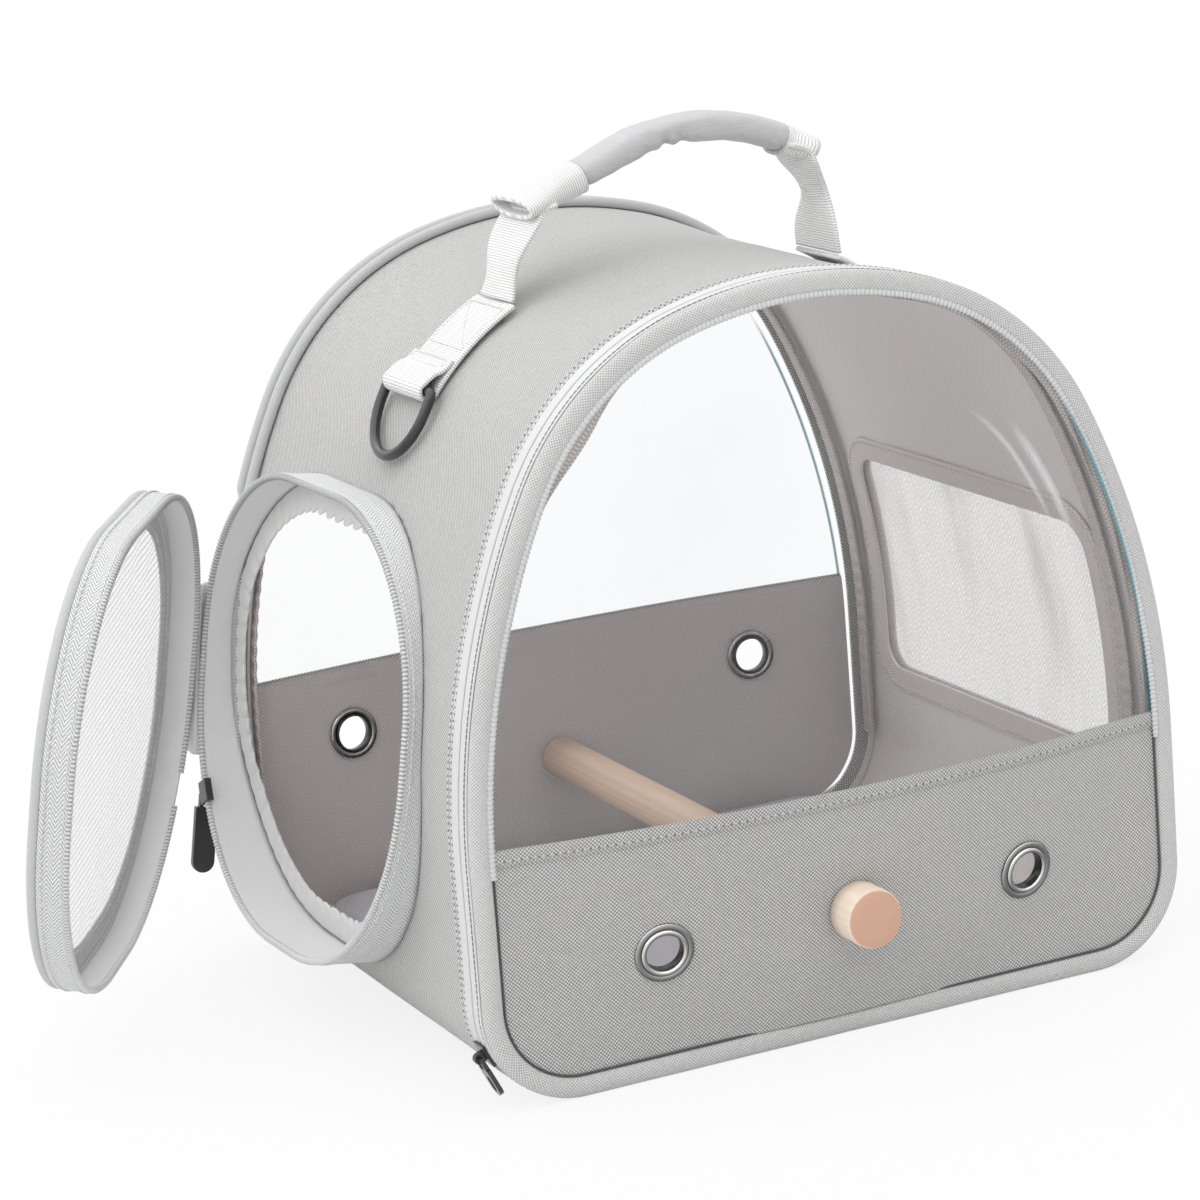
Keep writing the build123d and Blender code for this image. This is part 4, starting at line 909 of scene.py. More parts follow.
# Stitch row round the arch, with painted shade: dark strips in the needle gaps between its threads
def archStitches(name, y, d, sizes, sheet=threadPale, body="cabin", gaps=True):
    place, out, _, _ = archRows(2.0, above, d, y)
    pitch, length, width = sizes
    if gaps:
        dark = {"height": 0.25, "begin": 0.2 + (length - 0.1) / pitch}
        sew(name + "Gaps", place, out, (pitch, pitch - length, width * 0.7), paintedStitchShade, body, "tape", **dark)
    sew(name, place, out, sizes, sheet, body, "tape")


archStitches("stitchFrontWall", front["wall"] + 1.7, 8.05, (2.7, 1.7, 0.8))
archStitches("stitchZipUpper", front["wall"] - 1.3, 8.15, (2.7, 1.7, 0.8))
# a close, dark row of painted shade along the seam line
archStitches("stitchZipLower", front["seam"] + 1.4, 8.05, (2.4, 2.2, 0.7), paintedStitchShade, "front_panel", False)

# Lining sleeves over the hoops, gathered by their own thread
gather = {"size": 0.55, "pitch": 6.5, "wide": 7.2, "out": (0.4, 1.9)}


def gathered(s, a, b):
    fold = np.sin(s * 2 * math.pi / gather["pitch"] + waves(s / 25.0, 0 * s, 31, 2.6))
    swell = fold * gather["size"] * np.cos((b - b.mean()) / gather["wide"] * math.pi) * 0.9
    return swell + waves(s / 12.0, b / 4.0, 33, 0.25), fold * 0.35


for place, y in (("front", cabin["wallFront"]), ("rear", cabin["wallRear"] - gather["wide"])):
    sleeve = archBand((*gather["out"], y, y + gather["wide"]), 0.9, 0.6, gathered, overRoof(51.0))
    addPiece(place + "LiningSleeve", sleeve, liningBrown, "cabin", (place + "_lining_sleeve",), "lining")

# Rear end: the cord stops where the door's collar covers it
rear = {
    "wall": 120.5, "seam": 128.9, "bandTop": 114.0, "cord": (10.4, 120.5, 2.4), "piping": (2.8, 131.5, 2.6),
    "collar": (107.5, 60.0, -60.0), "pipingOut": 6.8, "pipingIn": -0.7,
}
gusset = [archBand((6.8, 8.0, rear["wall"] - 0.3, rear["seam"]), 2.6, ripple=tapeRipple),
          archBand((0.35, 7.9, rear["seam"] - 1.2, rear["seam"]), 3.0, 0.45)]
rearGusset = addPiece("rearGusset", gusset, oxford, "cabin", ("rear_gusset",), "oxford")
lineInside(rearGusset, np.array([0, 0, 140.0]), sideways, lining)
s = np.linspace(0, 2 * archHalf, 4000)
cordLine = wallPoint(rear["wall"], s, rear["cord"][0])
u, v, w = ((cordLine - rim["origin"]) @ rim[key] for key in "xyz")
covered = (np.abs(u) < rear["collar"][0]) & (np.abs(v) < rear["collar"][1]) & (w > rear["collar"][2])
covered = s[covered & (cordLine[:, 0] < 0)]
first, last = covered.min(), covered.max()
cordFirst, cordLast = overRoof(quarter * cabin["cornerRadius"] - 3.0)
cordSpans = (cordFirst, first - 0.5), (last + 0.5, cordLast)
cord = [archTube(*rear["cord"], 2.4, 16, span=span) for span in cordSpans]
addPiece("rearCord", cord, pipingSmooth, "cabin", ("rear_cord",), "piping")


# The rear piping sits out on the gusset's corner, but keeps in along the base and behind the door
def rearPipingPlace(s, a, b):
    behind = smoothStep(first - 20.0, first - 4.0, s) * (1 - smoothStep(last + 4.0, last + 20.0, s))
    out = smoothStep(10.0, 50.0, np.minimum(s, 2 * archHalf - s) - baseRun) * (1 - behind)
    rippleOut, rippleBack = uneven((15.0, 41, 0.10), (17.0, 42, 0.12))(s, a, b)
    return rear["pipingOut"] * out + rippleOut, rear["pipingIn"] * out + rippleBack


rearPiping = archTube(*rear["piping"], 2.4, 16, rearPipingPlace)
addPiece("rearPiping", rearPiping, pipingSmooth, "cabin", ("rear_piping",), "piping")
archStitches("stitchRear", rear["wall"] + 5.4, 8.1, (3.8, 2.6, 0.75), thread)
print("edges")


# Bulging end panels: height runs up the outline, width follows it, depth is a shallow dome flat at its rim
def bulgeDepth(end, x, z):
    reach, bulge = 156.0, end["bulge"]
    radius = (reach**2 + bulge**2) / (2 * bulge)
    away = np.hypot(x, z - (cabin["rimBottom"] + reach - cabin["wallOut"]))
    dome = np.sqrt(np.clip(radius**2 - away**2, 0, None)) - (radius - bulge)
    return end["rim"] + end["out"] * 0.5 * (dome + np.sqrt(dome * dome + 0.8))


def bulgeNormal(end, x, z, reach=0.5):
    dx, dz = ((bulgeDepth(end, x + a, z + b) - bulgeDepth(end, x - a, z - b)) / (2 * reach)
              for a, b in ((reach, 0), (0, reach)))
    return unit(np.array([-dx, 1.0, -dz]) * end["out"])


def vinylRipple(x, z):
    return waves(x / 34.0, z / 34.0, 51, 0.7) + waves(x / 13.0, z / 16.0, 52, 0.16)


def clothRipple(x, z):
    return waves(x / 24.0, z / 20.0, 53, 0.5)


archTop = 299.0


# Sheet between two heights; edgeMap maps it by the distance from the rim and the angle about the middle
def panelSheet(end, low, high, lift=0.0, ripple=clothRipple, across=100, step=2.6, edgeMap=False):
    r0 = baseRun if low <= cabin["rimBottom"] else runAtHeight(low)
    r1 = runAtHeight(high)
    half, height = trace(archShape, np.linspace(r0, r1, max(5, int((r1 - r0) / step))), -0.4)[:2]
    u = np.sin(np.linspace(-1, 1, across) * quarter * 0.94) / math.sin(quarter * 0.94)
    x, z = u * np.abs(half)[:, None], np.broadcast_to(height[:, None], (len(height), across))
    y = bulgeDepth(end, x, z) + end["out"] * (lift + ripple(x, z) * smoothStep(0, 0.25, 1 - np.abs(u)))
    uv = np.stack([-archDistance(x, z), np.arctan2(z - 150.0, x) * 100.0] if edgeMap else [x, z], -1) * mm
    points = np.stack([x, y, z], -1)
    return gridMesh(points[:, ::-1], uv[:, ::-1]) if end["out"] < 0 else gridMesh(points, uv)


def endLayer(end, name, mesh, materials, slot, amount, replaced=(), inner=0):
    layer = addPiece(name, mesh, materials, end["body"], replaced, slot, recalc=False)
    thicken(layer, amount, inner=inner)
    return layer


# Plane whose third direction is a normal
def squarePlane(place, normal):
    side = unit(np.cross([0, 0, 1.0], normal))
    return {"origin": np.array(place), "x": side, "y": np.cross(normal, side), "z": normal}


# Profile of (radius, height) pairs turned about a plane's normal
def lathe(plane, profile, count=40, shades=None):
    t = np.linspace(0, 2 * math.pi, count, endpoint=False)
    profile = np.array(profile)
    spoke = np.cos(t)[:, None] * plane["x"] + np.sin(t)[:, None] * plane["y"]
    points = plane["origin"] + spoke[:, None] * profile[:, :1] + plane["z"] * profile[:, 1:]
    uv = flatMap(t * profile[:, 0].max(), spacing(profile))
    return gridMesh(points, uv, True, True, None if shades is None else np.tile(shades, (count, 1)))


# Rolled crown of an eyelet: a half ellipse between two radii
def crown(low, high, base, rise):
    t = np.linspace(0, math.pi, 12)
    return np.stack([(low + high) / 2 + (high - low) / 2 * np.cos(t), base + rise * np.sin(t)], -1)


# Painted light of each profile row: 0 polished, 1 painted highlight, 2 painted shade of a groove or bore
outer, bore = 12.4, 7.6
barrel = [[bore - 0.02, -1.5], [bore, -3.6], [bore + 0.9, -3.6], [bore + 0.95, -0.4], [bore + 2.3, -0.4]]
flange = np.concatenate([crown(bore + 1.9, outer, 0.15, 1.0), [[bore + 1.9, -0.6], [outer - 0.3, -0.6]]])
lip = np.concatenate([crown(bore, bore + 2.3, 0.6, 1.15), barrel])
flangePaintedShade, lipPaintedShade = [2] + 8 * [0] + 5 * [2], [2] + 8 * [1] + [0] + 7 * [2]
washer = [[8.7, -1.8], [11.2, -1.8], [11.4, -2.2], [11.2, -3.3], [8.7, -3.3]]

ends = {
    "front": {"rim": cabin["frontY"], "out": -1.0, "bulge": 18.0, "top": front["bandTop"], "inner": lining,
              "body": "front_panel", "slot": "oxford", "eyelet": (82.0, 52.0)},
    "rear": {"rim": cabin["rearY"], "out": 1.0, "bulge": 10.0, "top": rear["bandTop"], "inner": liningPaintedShade,
             "body": "cabin", "slot": "lining", "eyelet": (100.0, 84.0)},
}
hem = {"below": 5.6, "above": 1.0, "lift": 0.5, "stitch": 3.4}
window = {"below": 7.0, "lift": -0.75, "across": 150, "step": 2.0}
thickness = {"band": 1.5, "hem": 1.1, "window": 0.5}
for place, end in ends.items():
    top, body, slot = end["top"], end["body"], end["slot"]
    mesh = panelSheet(end, cabin["rimBottom"], top)
    cloths = [oxford, end["inner"]]
    band = endLayer(end, place + "Band", mesh, cloths, slot, thickness["band"], (place + "_band",), 1)
    mesh = panelSheet(end, top - hem["below"], top + hem["above"], hem["lift"], step=1.5)
    endLayer(end, place + "Hem", mesh, oxford, slot, thickness["hem"])
    mesh = panelSheet(end, top - window["below"], archTop, window["lift"], vinylRipple, window["across"],
                      window["step"], True)
    pane = clearSheets[place]
    endLayer(end, place + "Window", mesh, pane, "clear", thickness["window"], (place + "_window",))
    rings, washers = [], []
    for x in (-end["eyelet"][0], end["eyelet"][0]):
        z = end["eyelet"][1]
        y = bulgeDepth(end, x, z) + end["out"] * float(clothRipple(x, z))
        plane = squarePlane((x, y, z), bulgeNormal(end, x, z))
        hole = roundProfile(0.0, 0.0, bore + 0.6, 48)
        cut(band, plane, hole[:, 0], hole[:, 1], -16.0, 16.0)
        rings += [lathe(plane, flange, 48, flangePaintedShade), lathe(plane, lip, 48, lipPaintedShade)]
        washers.append(lathe(plane, washer))
    # the eyelets' rows take the polished nickel, its painted highlight and its painted shade
    metals = [nickel, paintedHighlightNickel, paintedShadeNickel]
    addPiece(place + "Eyelets", rings, metals, body, (place + "_eyelets",), "eyelet")
    addPiece(place + "EyeletWashers", washers, nickel, body, (place + "_eyelet_washers",), "eyelet")
    half = halfWidthAt(top - hem["stitch"]) - 2.0
    x, z = np.linspace(-half, half, 160), np.full(160, top - hem["stitch"])
    line = np.stack([x, bulgeDepth(end, x, z) + end["out"] * (clothRipple(x, z) + 0.56), z], -1)
    # the Gap row is painted shade in the needle gaps between the hem stitches
    for row, sheet, begin, length in (("Upper", thread, 0.2, 2.3), ("Gap", paintedStitchShade, 0.93, 1.0)):
        lift = end["out"] * sideways
        sew(place + "HemStitch" + row, line, lift, (3.4, length, 0.7), sheet, body, slot, begin=begin)
print("end panels")

# Side window: mesh in the opening, a binding round it inside and a turned edge outside
y, r = windowRows(-1.0, 3.0)[:2]
grid = np.linspace(0, 1, 30)
ys, rs = windowY + (y - windowY)[:, None] * grid, windowRun + (r - windowRun)[:, None] * grid
bow = 5.5 - 1.6 * (1 - grid**2) + waves(ys / 30.0, rs / 30.0, 61, 0.5)
sheet = gridMesh(wallPoint(ys, rs, bow), np.stack([ys, rs], -1) * mm, closeA=True)
netting = addPiece("sideMesh", sheet, sideMesh, "cabin", ("side_mesh",), "mesh", recalc=False)
thicken(netting, 0.5, 0.0)


def flatArea(a, b):
    return abs(float(np.sum(a * np.roll(b, -1) - b * np.roll(a, -1)))) / 2 * 1e-6


float(np.ptp(y)) * 0.001
float(np.ptp(r)) * 0.001
flatArea(y, r)


def windowFrame(section, seed):
    section = bandProfile(*section)
    y, r, ny, nr, s = (row[..., None] for row in windowRows(0.0, 2.5))
    a, b = section.T
    points = wallPoint(y + b * ny, r + b * nr, a + waves(s / 12.0, b / 20.0, seed, 0.18))
    return gridMesh(points, flatMap(s[:, 0], spacing(section)), True, True)


frames = [windowFrame((3.2, 4.7, -3.5, 7.5), 62), windowFrame((7.6, 9.0, -3.2, 4.6), 64)]
addPiece("sideMeshBinding", frames, [liningWindow, oxfordPale], "cabin", ("side_mesh_binding",), "oxford",
         perMesh=True)
for name, grow, d, way in (("Out", 2.6, 9.0, 1), ("OutInner", -1.2, 9.0, 1), ("In", 5.6, 3.15, -1)):
    y, r = windowRows(grow, 2.0)[:2]
    line = wallPoint(y, r, d)
    normal = way * (wallPoint(y, r, d + 1.0) - line)
    sew("stitchWindow" + name, line, normal, (3.4, 2.4, 0.7), thread, "cabin", "oxford", closed=True)
print("side window")


# Door opening: the collar runs from the rim plane back to the wall it is sewn to
def wallDepth(u, v, d=8.1):
    w = np.full(np.broadcast(u, v).shape, -8.0)
    for _ in range(12):
        p = onPlane(rim, u, v, w)
        w = w - (archDistance(p[..., 0], p[..., 2]) - d)
    return w


# Closed band round the opening: distance out from the door's outline, and height over the rim plane
def rimBand(line, out, height, over):
    u, v, nu, nv, run = (row[:, None] for row in line)
    points = onPlane(rim, u + out * nu, v + out * nv, height(u + out * nu, v + out * nv))
    return gridMesh(points, flatMap(run[:, 0], over), True, True)


def doorLine(step):
    s = spread(doorHalf, step)
    return *trace(doorShape, s), s


collar = {"inner": -2.1, "top": -1.9, "edge": 0.4, "wall": 12.0}
line = doorLine(2.4)
t = np.linspace(0, 1, 9)
depth = np.minimum(wallDepth(*line[:2]) - 0.4, collar["top"] - 1.5)[:, None]
out = np.r_[np.zeros(9), -collar["edge"], collar["inner"] + collar["edge"], np.full(9, collar["inner"])]
level = np.r_[t, 1.0, 1.0, t[::-1]]
lift = np.r_[np.zeros(8), -0.3, 0.15, 0.15, -0.3, np.zeros(8)]
out = out + waves(line[4][:, None] / 13.0, level * 2, 71, 0.15)
height = depth + (collar["top"] - depth) * level + lift
over = np.r_[t * collar["wall"], 12.4, 14.2, 14.6 + t * collar["wall"]]
band = rimBand(line, out, lambda u, v: height, over)
doorCollar = addPiece("doorCollar", band, tapeRib, "cabin", ("door_collar",), "tape")
lineInside(doorCollar, rim["origin"], rim["z"], tapeSmooth)
rimCoil = coilBand(doorRows(rim, coilStep), (-2.6, -0.1, -2.3, 0.0), closed=True)
addPiece("doorCoilCabin", rimCoil, coilPale, "cabin", ("door_zip_coil_cabin",), "coil")


# Stitch row round the door: out and up are its place, facing is the share of outward and upward in its lift
def doorStitches(name, plane, out, up, facing, sizes, sheet=threadPale, body="side_door", jitter=0.0):
    place, outward, upward, run = doorRows(plane, 1.6, None, out, up)
    place = place + outward * waves(run / 2.2, 0 * run, 73, jitter, low=0.8, high=2.5)[:, None]
    sew(name, place, outward * facing[0] + upward * facing[1], sizes, sheet, body, "tape", closed=True)


doorStitches("stitchCollarTop", rim, 0.05, -4.0, (1, 0), (2.8, 2.0, 0.6), body="cabin")

# Gathered elastic strip inside the opening, lying in the wall
ruffle = {"inner": -14.6, "outer": -2.6, "half": 0.7, "pitch": 9.0, "height": 1.6, "draw": 3.0, "depth": 6.8}
line = doorLine(0.8)
run = line[4][:, None]
section = bandProfile(-ruffle["half"], ruffle["half"], ruffle["inner"], ruffle["outer"], 0.6, 3, 5)
a, b = section.T
away = (b - ruffle["outer"]) / (ruffle["inner"] - ruffle["outer"])
lump = np.abs(np.sin(run * math.pi / ruffle["pitch"] + waves(run / 30.0, 0 * b, 75, 1.7))) ** 0.8
out = b + (1.2 - lump * (ruffle["draw"] + waves(run / 13.0, 0 * b, 77, 1.3))) * away
fold = ((lump - 0.6) * 1.6 + waves(run / 6.0, 0 * b, 78, 0.35)) * ruffle["height"] * (0.2 + 0.8 * away) * 0.6
strip = rimBand(line, out, lambda u, v: wallDepth(u, v, ruffle["depth"]) + a + fold, spacing(section))
addPiece("doorRuffle", strip, ruffleCloth, "cabin", ("door_ruffle",), "tape")

# The door: zip tape, coil, piping, mesh and the binding behind the mesh
leaf = {
    "low": 1.2, "high": 13.2, "piping": (-2.3, 15.6, 2.3, 16), "mesh": 16.0, "meshInset": -4.3,
    "coilOut": (-2.6, -0.1), "sliderRoom": 7.5, "binding": (-15.6, -4.6, 14.1, 15.25),
}


# Pieces with one section, carried round the open door
def leafPart(name, section, step, ripple, material, replaced, slot):
    mesh = carry(doorRows(openDoor, step), section, True, ripple)
    return addPiece(name, mesh, material, "side_door", (replaced,), slot)


def leafRipple(s, a, b):
    return waves(s / 14.0, b / 9.0, 81, 0.3) * (b > 2.5), 0.0


def bindingRipple(s, a, b):
    return waves(s / 9.0, 0 * a, 87, 0.5) * (a < -12), waves(s / 11.0, a / 9.0, 88, 0.35) - 0.2


section = bandProfile(-2.2, 0.0, leaf["low"] + 1.0, leaf["high"] + 0.4, 0.5, 4, 8)
band = leafPart("doorZipBand", section, 2.2, leafRipple, tapeRib, "door_gusset", "tape")
lineInside(band, openDoor["origin"], openDoor["z"], tapeSmooth)
slider = np.mean(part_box("door_zip_slider"), axis=0) * 1000.0 - rim["origin"]
s = np.linspace(0, 2 * doorHalf, 2000)
u, v = trace(doorShape, s)[:2]
stop = s[np.argmin(np.hypot(u - slider @ rim["x"], v - slider @ rim["y"]))]
room = (stop + leaf["sliderRoom"], stop + 2 * doorHalf - leaf["sliderRoom"])
section = (*leaf["coilOut"], leaf["low"] - 0.4, leaf["low"] + 1.9)
leafCoil = coilBand(doorRows(openDoor, coilStep, room), section)
addPiece("doorCoilPanel", leafCoil, coilPale, "side_door", ("door_zip_coil_panel",), "coil")
ripple = uneven((10.0, 83, 0.14), (12.0, 84, 0.14))
leafPart("doorPiping", roundProfile(*leaf["piping"]), 2.2, ripple, pipingSmooth, "door_piping", "piping")
s = np.linspace(0, 2 * doorHalf, 230, endpoint=False)
u, v = trace(doorShape, s, leaf["meshInset"])[:2]
grid, s = np.sin(np.linspace(0, 1, 46) * quarter), s[:, None]
us, vs = u[:, None] * grid, v[:, None] * grid
pucker = waves(us / 17.0, vs / 17.0, 85, 1.0) * (1 - grid**6) * 0.8
radial = np.sin(s / 5.5 + waves(s / 30.0, 0 * s, 86, 3.0)) * 0.35 * smoothStep(0.55, 0.97, grid)
w = leaf["mesh"] - 0.3 + (pucker + radial) * (1 - smoothStep(0.985, 1.0, grid)) - 0.9 * (1 - grid**2)
sheet = gridMesh(onPlane(openDoor, us, vs, w), np.stack([us, vs], -1) * mm, closeA=True)
net = addPiece("doorMesh", sheet, doorMesh, "side_door", ("door_mesh",), "mesh", recalc=False)
thicken(net, 0.45, 0.0)
float(np.ptp(u)) * 0.001
float(np.ptp(v)) * 0.001
flatArea(u, v)
section = bandProfile(*leaf["binding"], 0.5, 3, 6)
leafPart("doorBinding", section, 1.8, bindingRipple, oxfordPale, "door_binding", "oxford")
under = leaf["mesh"] - 2.0
doorStitches("stitchDoorBinding", openDoor, -13.6, under, (0, -1), (3.0, 2.3, 0.8), jitter=0.5)
doorStitches("stitchDoorBindingOuter", openDoor, -6.4, under, (0, -1), (3.0, 2.3, 0.8), jitter=0.4)
doorStitches("stitchDoorBand", openDoor, 0.1, leaf["low"] + 2.6, (1, 0), (2.8, 2.0, 0.6))
doorStitches("stitchDoorBandUpper", openDoor, 0.15, leaf["high"] - 1.8, (1, 0), (3.4, 2.4, 0.7), thread)
print("door")

# Fabric hinge: one strip sewn to the collar and to the door, bent round the fold between them
hinge = {"reach": 38.0, "thickness": 0.9, "cabinEnd": -6.5, "doorEnd": 9.5, "fold": 0.15, "bend": 0.6}
v = np.linspace(-hinge["reach"], hinge["reach"], 44)
u = np.full(v.shape, -door["halfLength"] - 0.75)
wallEnd = np.maximum(wallDepth(u, v) + 0.3, hinge["cabinEnd"])
stops = [
    (rim, 0.0, wallEnd), (rim, 0.0, wallEnd * 0.55), (rim, hinge["fold"], -hinge["bend"]),
    (openDoor, hinge["fold"], door["gap"] + hinge["bend"]), (openDoor, 0.0, 5.0),
    (openDoor, 0.0, hinge["doorEnd"]),
]
lines = extended(np.array([onPlane(plane, u - inset, v, w) for plane, inset, w in stops]))
t = np.linspace(0, 1, 9)[:, None, None]
stretches = [spline(*lines[k:k + 4], t)[:None if k == 4 else -1] for k in range(5)]
strip = np.concatenate(stretches).transpose(1, 0, 2)
hingeNodes = ("door_hinge_cabin", "door_hinge_panel")
hingePiece = addPiece("doorHinge", gridMesh(strip), tapeSmooth, None, hingeNodes, "oxford", recalc=False)
thicken(hingePiece, hinge["thickness"], 0.0)
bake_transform(hingePiece)
print("door hinge")

# Webbing on the shoulders: laid on the cloth, folded round the D-ring's bar and sewn back on itself
strap = {
    "width": 38.0, "y": -6.0, "thickness": 2.0, "low": 38.5, "high": 62.4, "barOffset": 12.6, "bend": 3.55,
    "laid": 9.15, "fold": (41.6, 43.0, 44.5, 46.0), "foldOut": (14.3, 12.4, 11.45, 11.3), "stitchHalf": 16.0,
}
shoulder = archShape[4]


def shoulderPoint(degrees, offset, side, y=strap["y"]):
    t, r = np.radians(degrees), shoulder[3] + np.asarray(offset, float)
    x, z = side * (shoulder[1] + r * np.cos(t)), shoulder[2] + r * np.sin(t)
    return np.stack(np.broadcast_arrays(x, y, z), -1)


# Flat webbing along a path; where it narrows, its edges curl
def webStrip(path, seed, ripple, widths=1.0, curl=0.0):
    rows = pathRows(path)
    run = rows[3]
    half, thick = strap["width"] / 2, strap["thickness"]
    a, b = bandProfile(-thick / 2, thick / 2, -half, half, thick * 0.42, 3, 11).T
    scale = np.broadcast_to(widths, run.shape)[:, None]
    lift = a + waves(run[:, None] / 9.0, b / 14.0, seed, ripple) + curl * (1 - scale) * (b / half) ** 2 * 2
    uv = flatMap(run, b)
    return gridMesh(capped(swept(rows, lift, b * scale)), np.concatenate([uv[:1], uv, uv[-1:]]), False, True)


# Stitches along straight lines between corners on a strap: angle, way along y, offset
def strapStitches(name, side, corners, lift):
    points = np.array([shoulderPoint(angle, out, side, strap["y"] + way * strap["stitchHalf"])
                       for angle, way, out in corners])
    pairs = zip(points[:-1], points[1:])
    runs = [np.linspace(a, b, max(2, int(np.linalg.norm(b - a) / 0.8)), endpoint=False) for a, b in pairs]
    sew(name, np.concatenate([*runs, points[-1:]]), lift, (2.6, 1.9, 0.7), threadPale, "cabin", "webbing")


ring = {"half": 22.2, "corner": 2.9, "drop": 30.0, "wire": 2.2, "hang": 27.94}
foot = ring["half"] - ring["corner"]
ringShape = [
    ("run", 0.0, 0.0, foot, -quarter),
    ("arc", foot, ring["corner"], ring["corner"], -quarter, 0.0),
    ("run", ring["half"], ring["corner"], ring["drop"] - ring["half"] - ring["corner"], 0.0),
    ("arc", 0.0, ring["drop"] - ring["half"], ring["half"], 0.0, quarter),
]
foldBox = [(43.6, -1, 12.9), (45.6, -1, 12.45), (45.6, 1, 12.45), (43.6, 1, 12.9), (43.6, -1, 12.9)]
crossBox = [(angle, way, 10.35) for angle, way in (
    (49.0, -1), (54.5, -1), (60.5, -1), (60.5, 1), (54.5, 1), (49.0, 1), (49.0, -1), (54.5, 0), (60.5, 1))]
for side, name in ((-1, "Left"), (1, "Right")):
    bar = shoulderPoint(strap["low"], strap["barOffset"], side)
    radial = unit(bar - shoulderPoint(strap["low"], 0.0, side))
    down = unit(shoulderPoint(strap["low"] - 1.0, strap["barOffset"], side) - bar)
    turn = np.radians(np.linspace(-90, 90, 13))[:, None]
    loop = bar + strap["bend"] * (np.sin(turn) * radial + np.cos(turn) * down)
    laid = shoulderPoint(np.linspace(strap["high"], strap["low"] + 2.4, 16), strap["laid"], side)
    back = shoulderPoint(strap["fold"], strap["foldOut"], side)
    mesh = webStrip(throughPoints(np.concatenate([laid, loop, back]), 0.9), 91 + side, 0.25)
    addPiece("strap" + name, mesh, webbing, "cabin", ("handle_strap_" + name.lower(),), "webbing")
    strapStitches("stitchFold" + name, side, foldBox, radial)
    middle = np.array([side * shoulder[1], 0, shoulder[2]])
    strapStitches("stitchBox" + name, side, crossBox, unit(shoulderPoint(55.0, 10.35, side, 0.0) - middle))
    t = math.radians(ring["hang"])
    plane = {"origin": bar, "x": sideways, "y": np.array([side * math.sin(t), 0, -math.cos(t)])}
    plane["z"] = np.cross(plane["x"], plane["y"])
    s = np.linspace(0, 2 * halfLength(ringShape), 120, endpoint=False)
    wire = carry(planeRows(ringShape, plane, s), roundProfile(0, 0, ring["wire"], 14))
    addPiece("dRing" + name, wire, black, "ring_" + name.lower(), ("d_ring_" + name.lower(),), "black")
print("straps and rings")


# Grip line: straight runs with round bends between them
def bentLine(corners, radius):
    corners = np.array(corners)
    line = [corners[:1]]
    for a, b, d in zip(corners[:-2], corners[1:-1], corners[2:]):
        e, f = unit(a - b), unit(d - b)
        half = math.acos(np.clip(np.dot(e, f), -1, 1)) / 2
        reach = radius / math.tan(half)
        middle = b + unit(e + f) * radius / math.sin(half)
        t = np.linspace(0, 1, 16)[:, None]
        line.append(middle + radius * unit((b + e * reach - middle) * (1 - t) + (b + f * reach - middle) * t))
    return evenly(np.concatenate([*line, corners[-1:]]), 1.2)


# Round section squared off a little: sine and cosine to the power 2 / power, with their signs kept
def squared(t, power):
    return [np.sign(way) * np.abs(way) ** (2 / power) for way in (np.sin(t), np.cos(t))]


air = {"pressure": 4.0, "frames": 20, "quality": 6, "mass": 0.3, "stretch": 12.0, "bend": 0.4}


# Inflates a closed piece with a cloth simulation, and holds each point within its travel
def inflate(piece, voxel, travel):
    step = piece.modifiers.new("remesh", "REMESH")
    step.mode, step.voxel_size, step.use_smooth_shade = "VOXEL", voxel * mm, True
    bake(piece)
    before = vectors(piece.data.vertices, "co")
    soft = piece.modifiers.new("cloth", "CLOTH")
    settings = soft.settings
    settings.use_pressure, settings.uniform_pressure_force = True, air["pressure"]
    settings.effector_weights.gravity = 0.0
    settings.quality, settings.mass = air["quality"], air["mass"]
    settings.tension_stiffness = settings.compression_stiffness = air["stretch"]
    settings.bending_stiffness = air["bend"]
    soft.point_cache.frame_start, soft.point_cache.frame_end = 1, air["frames"]
    scene = bpy.context.scene
    for number in range(1, air["frames"] + 1):
        scene.frame_set(number)
    bake(piece)
    scene.frame_set(1)
    move = vectors(piece.data.vertices, "co") - before
    far = np.linalg.norm(move, axis=1, keepdims=True)
    limit = travel * mm
    held = before + move * np.where(far > 1e-9, limit * np.tanh(far / limit) / np.maximum(far, 1e-9), 1.0)
    piece.data.vertices.foreach_set("co", held.astype(np.float32).ravel())
    finer = piece.modifiers.new("finer", "SUBSURF")
    finer.levels = finer.render_levels = 1
    bake(piece)
    shadeSmooth(piece.data)


def shape(piece, change):
    points = piece.data.vertices
    moved = change(vectors(points, "co") * 1000.0, vectors(points, "normal"))
    points.foreach_set("co", (moved * mm).astype(np.float32).ravel())
    piece.data.update()


# Sleeve: an oblong section swept along the grip, a little smaller than the finished sleeve, then inflated
grip = {
    "line": ((-64.0, 331.0), (-34.0, 339.0), (18.0, 360.5), (69.0, 339.5)), "bend": 90.0, "y": -6.0,
    "sleeve": (-38.0, 65.0), "width": 21.0, "thickness": 12.0, "power": 2.6,
    "creases": ((9.0, 2.2, 3.2), (16.5, 2.6, 2.2), (1.0, 3.0, 1.2)),
}
gripLine = bentLine(grip["line"], grip["bend"])
inside = (gripLine[:, 0] > grip["sleeve"][0]) & (gripLine[:, 0] < grip["sleeve"][1])
rows = pathRows(standing(gripLine, grip["y"])[inside])
run = rows[3]
high, wide = squared(np.linspace(0, 2 * math.pi, 32, endpoint=False), grip["power"])
tip = smoothStep(0, 4.0, np.minimum(run, run[-1] - run))[:, None]
a, b = grip["thickness"] / 2 * high * (0.72 + 0.28 * tip), grip["width"] / 2 * wide * (0.9 + 0.1 * tip)
mesh = gridMesh(capped(swept(rows, a, b)), None, False, True)
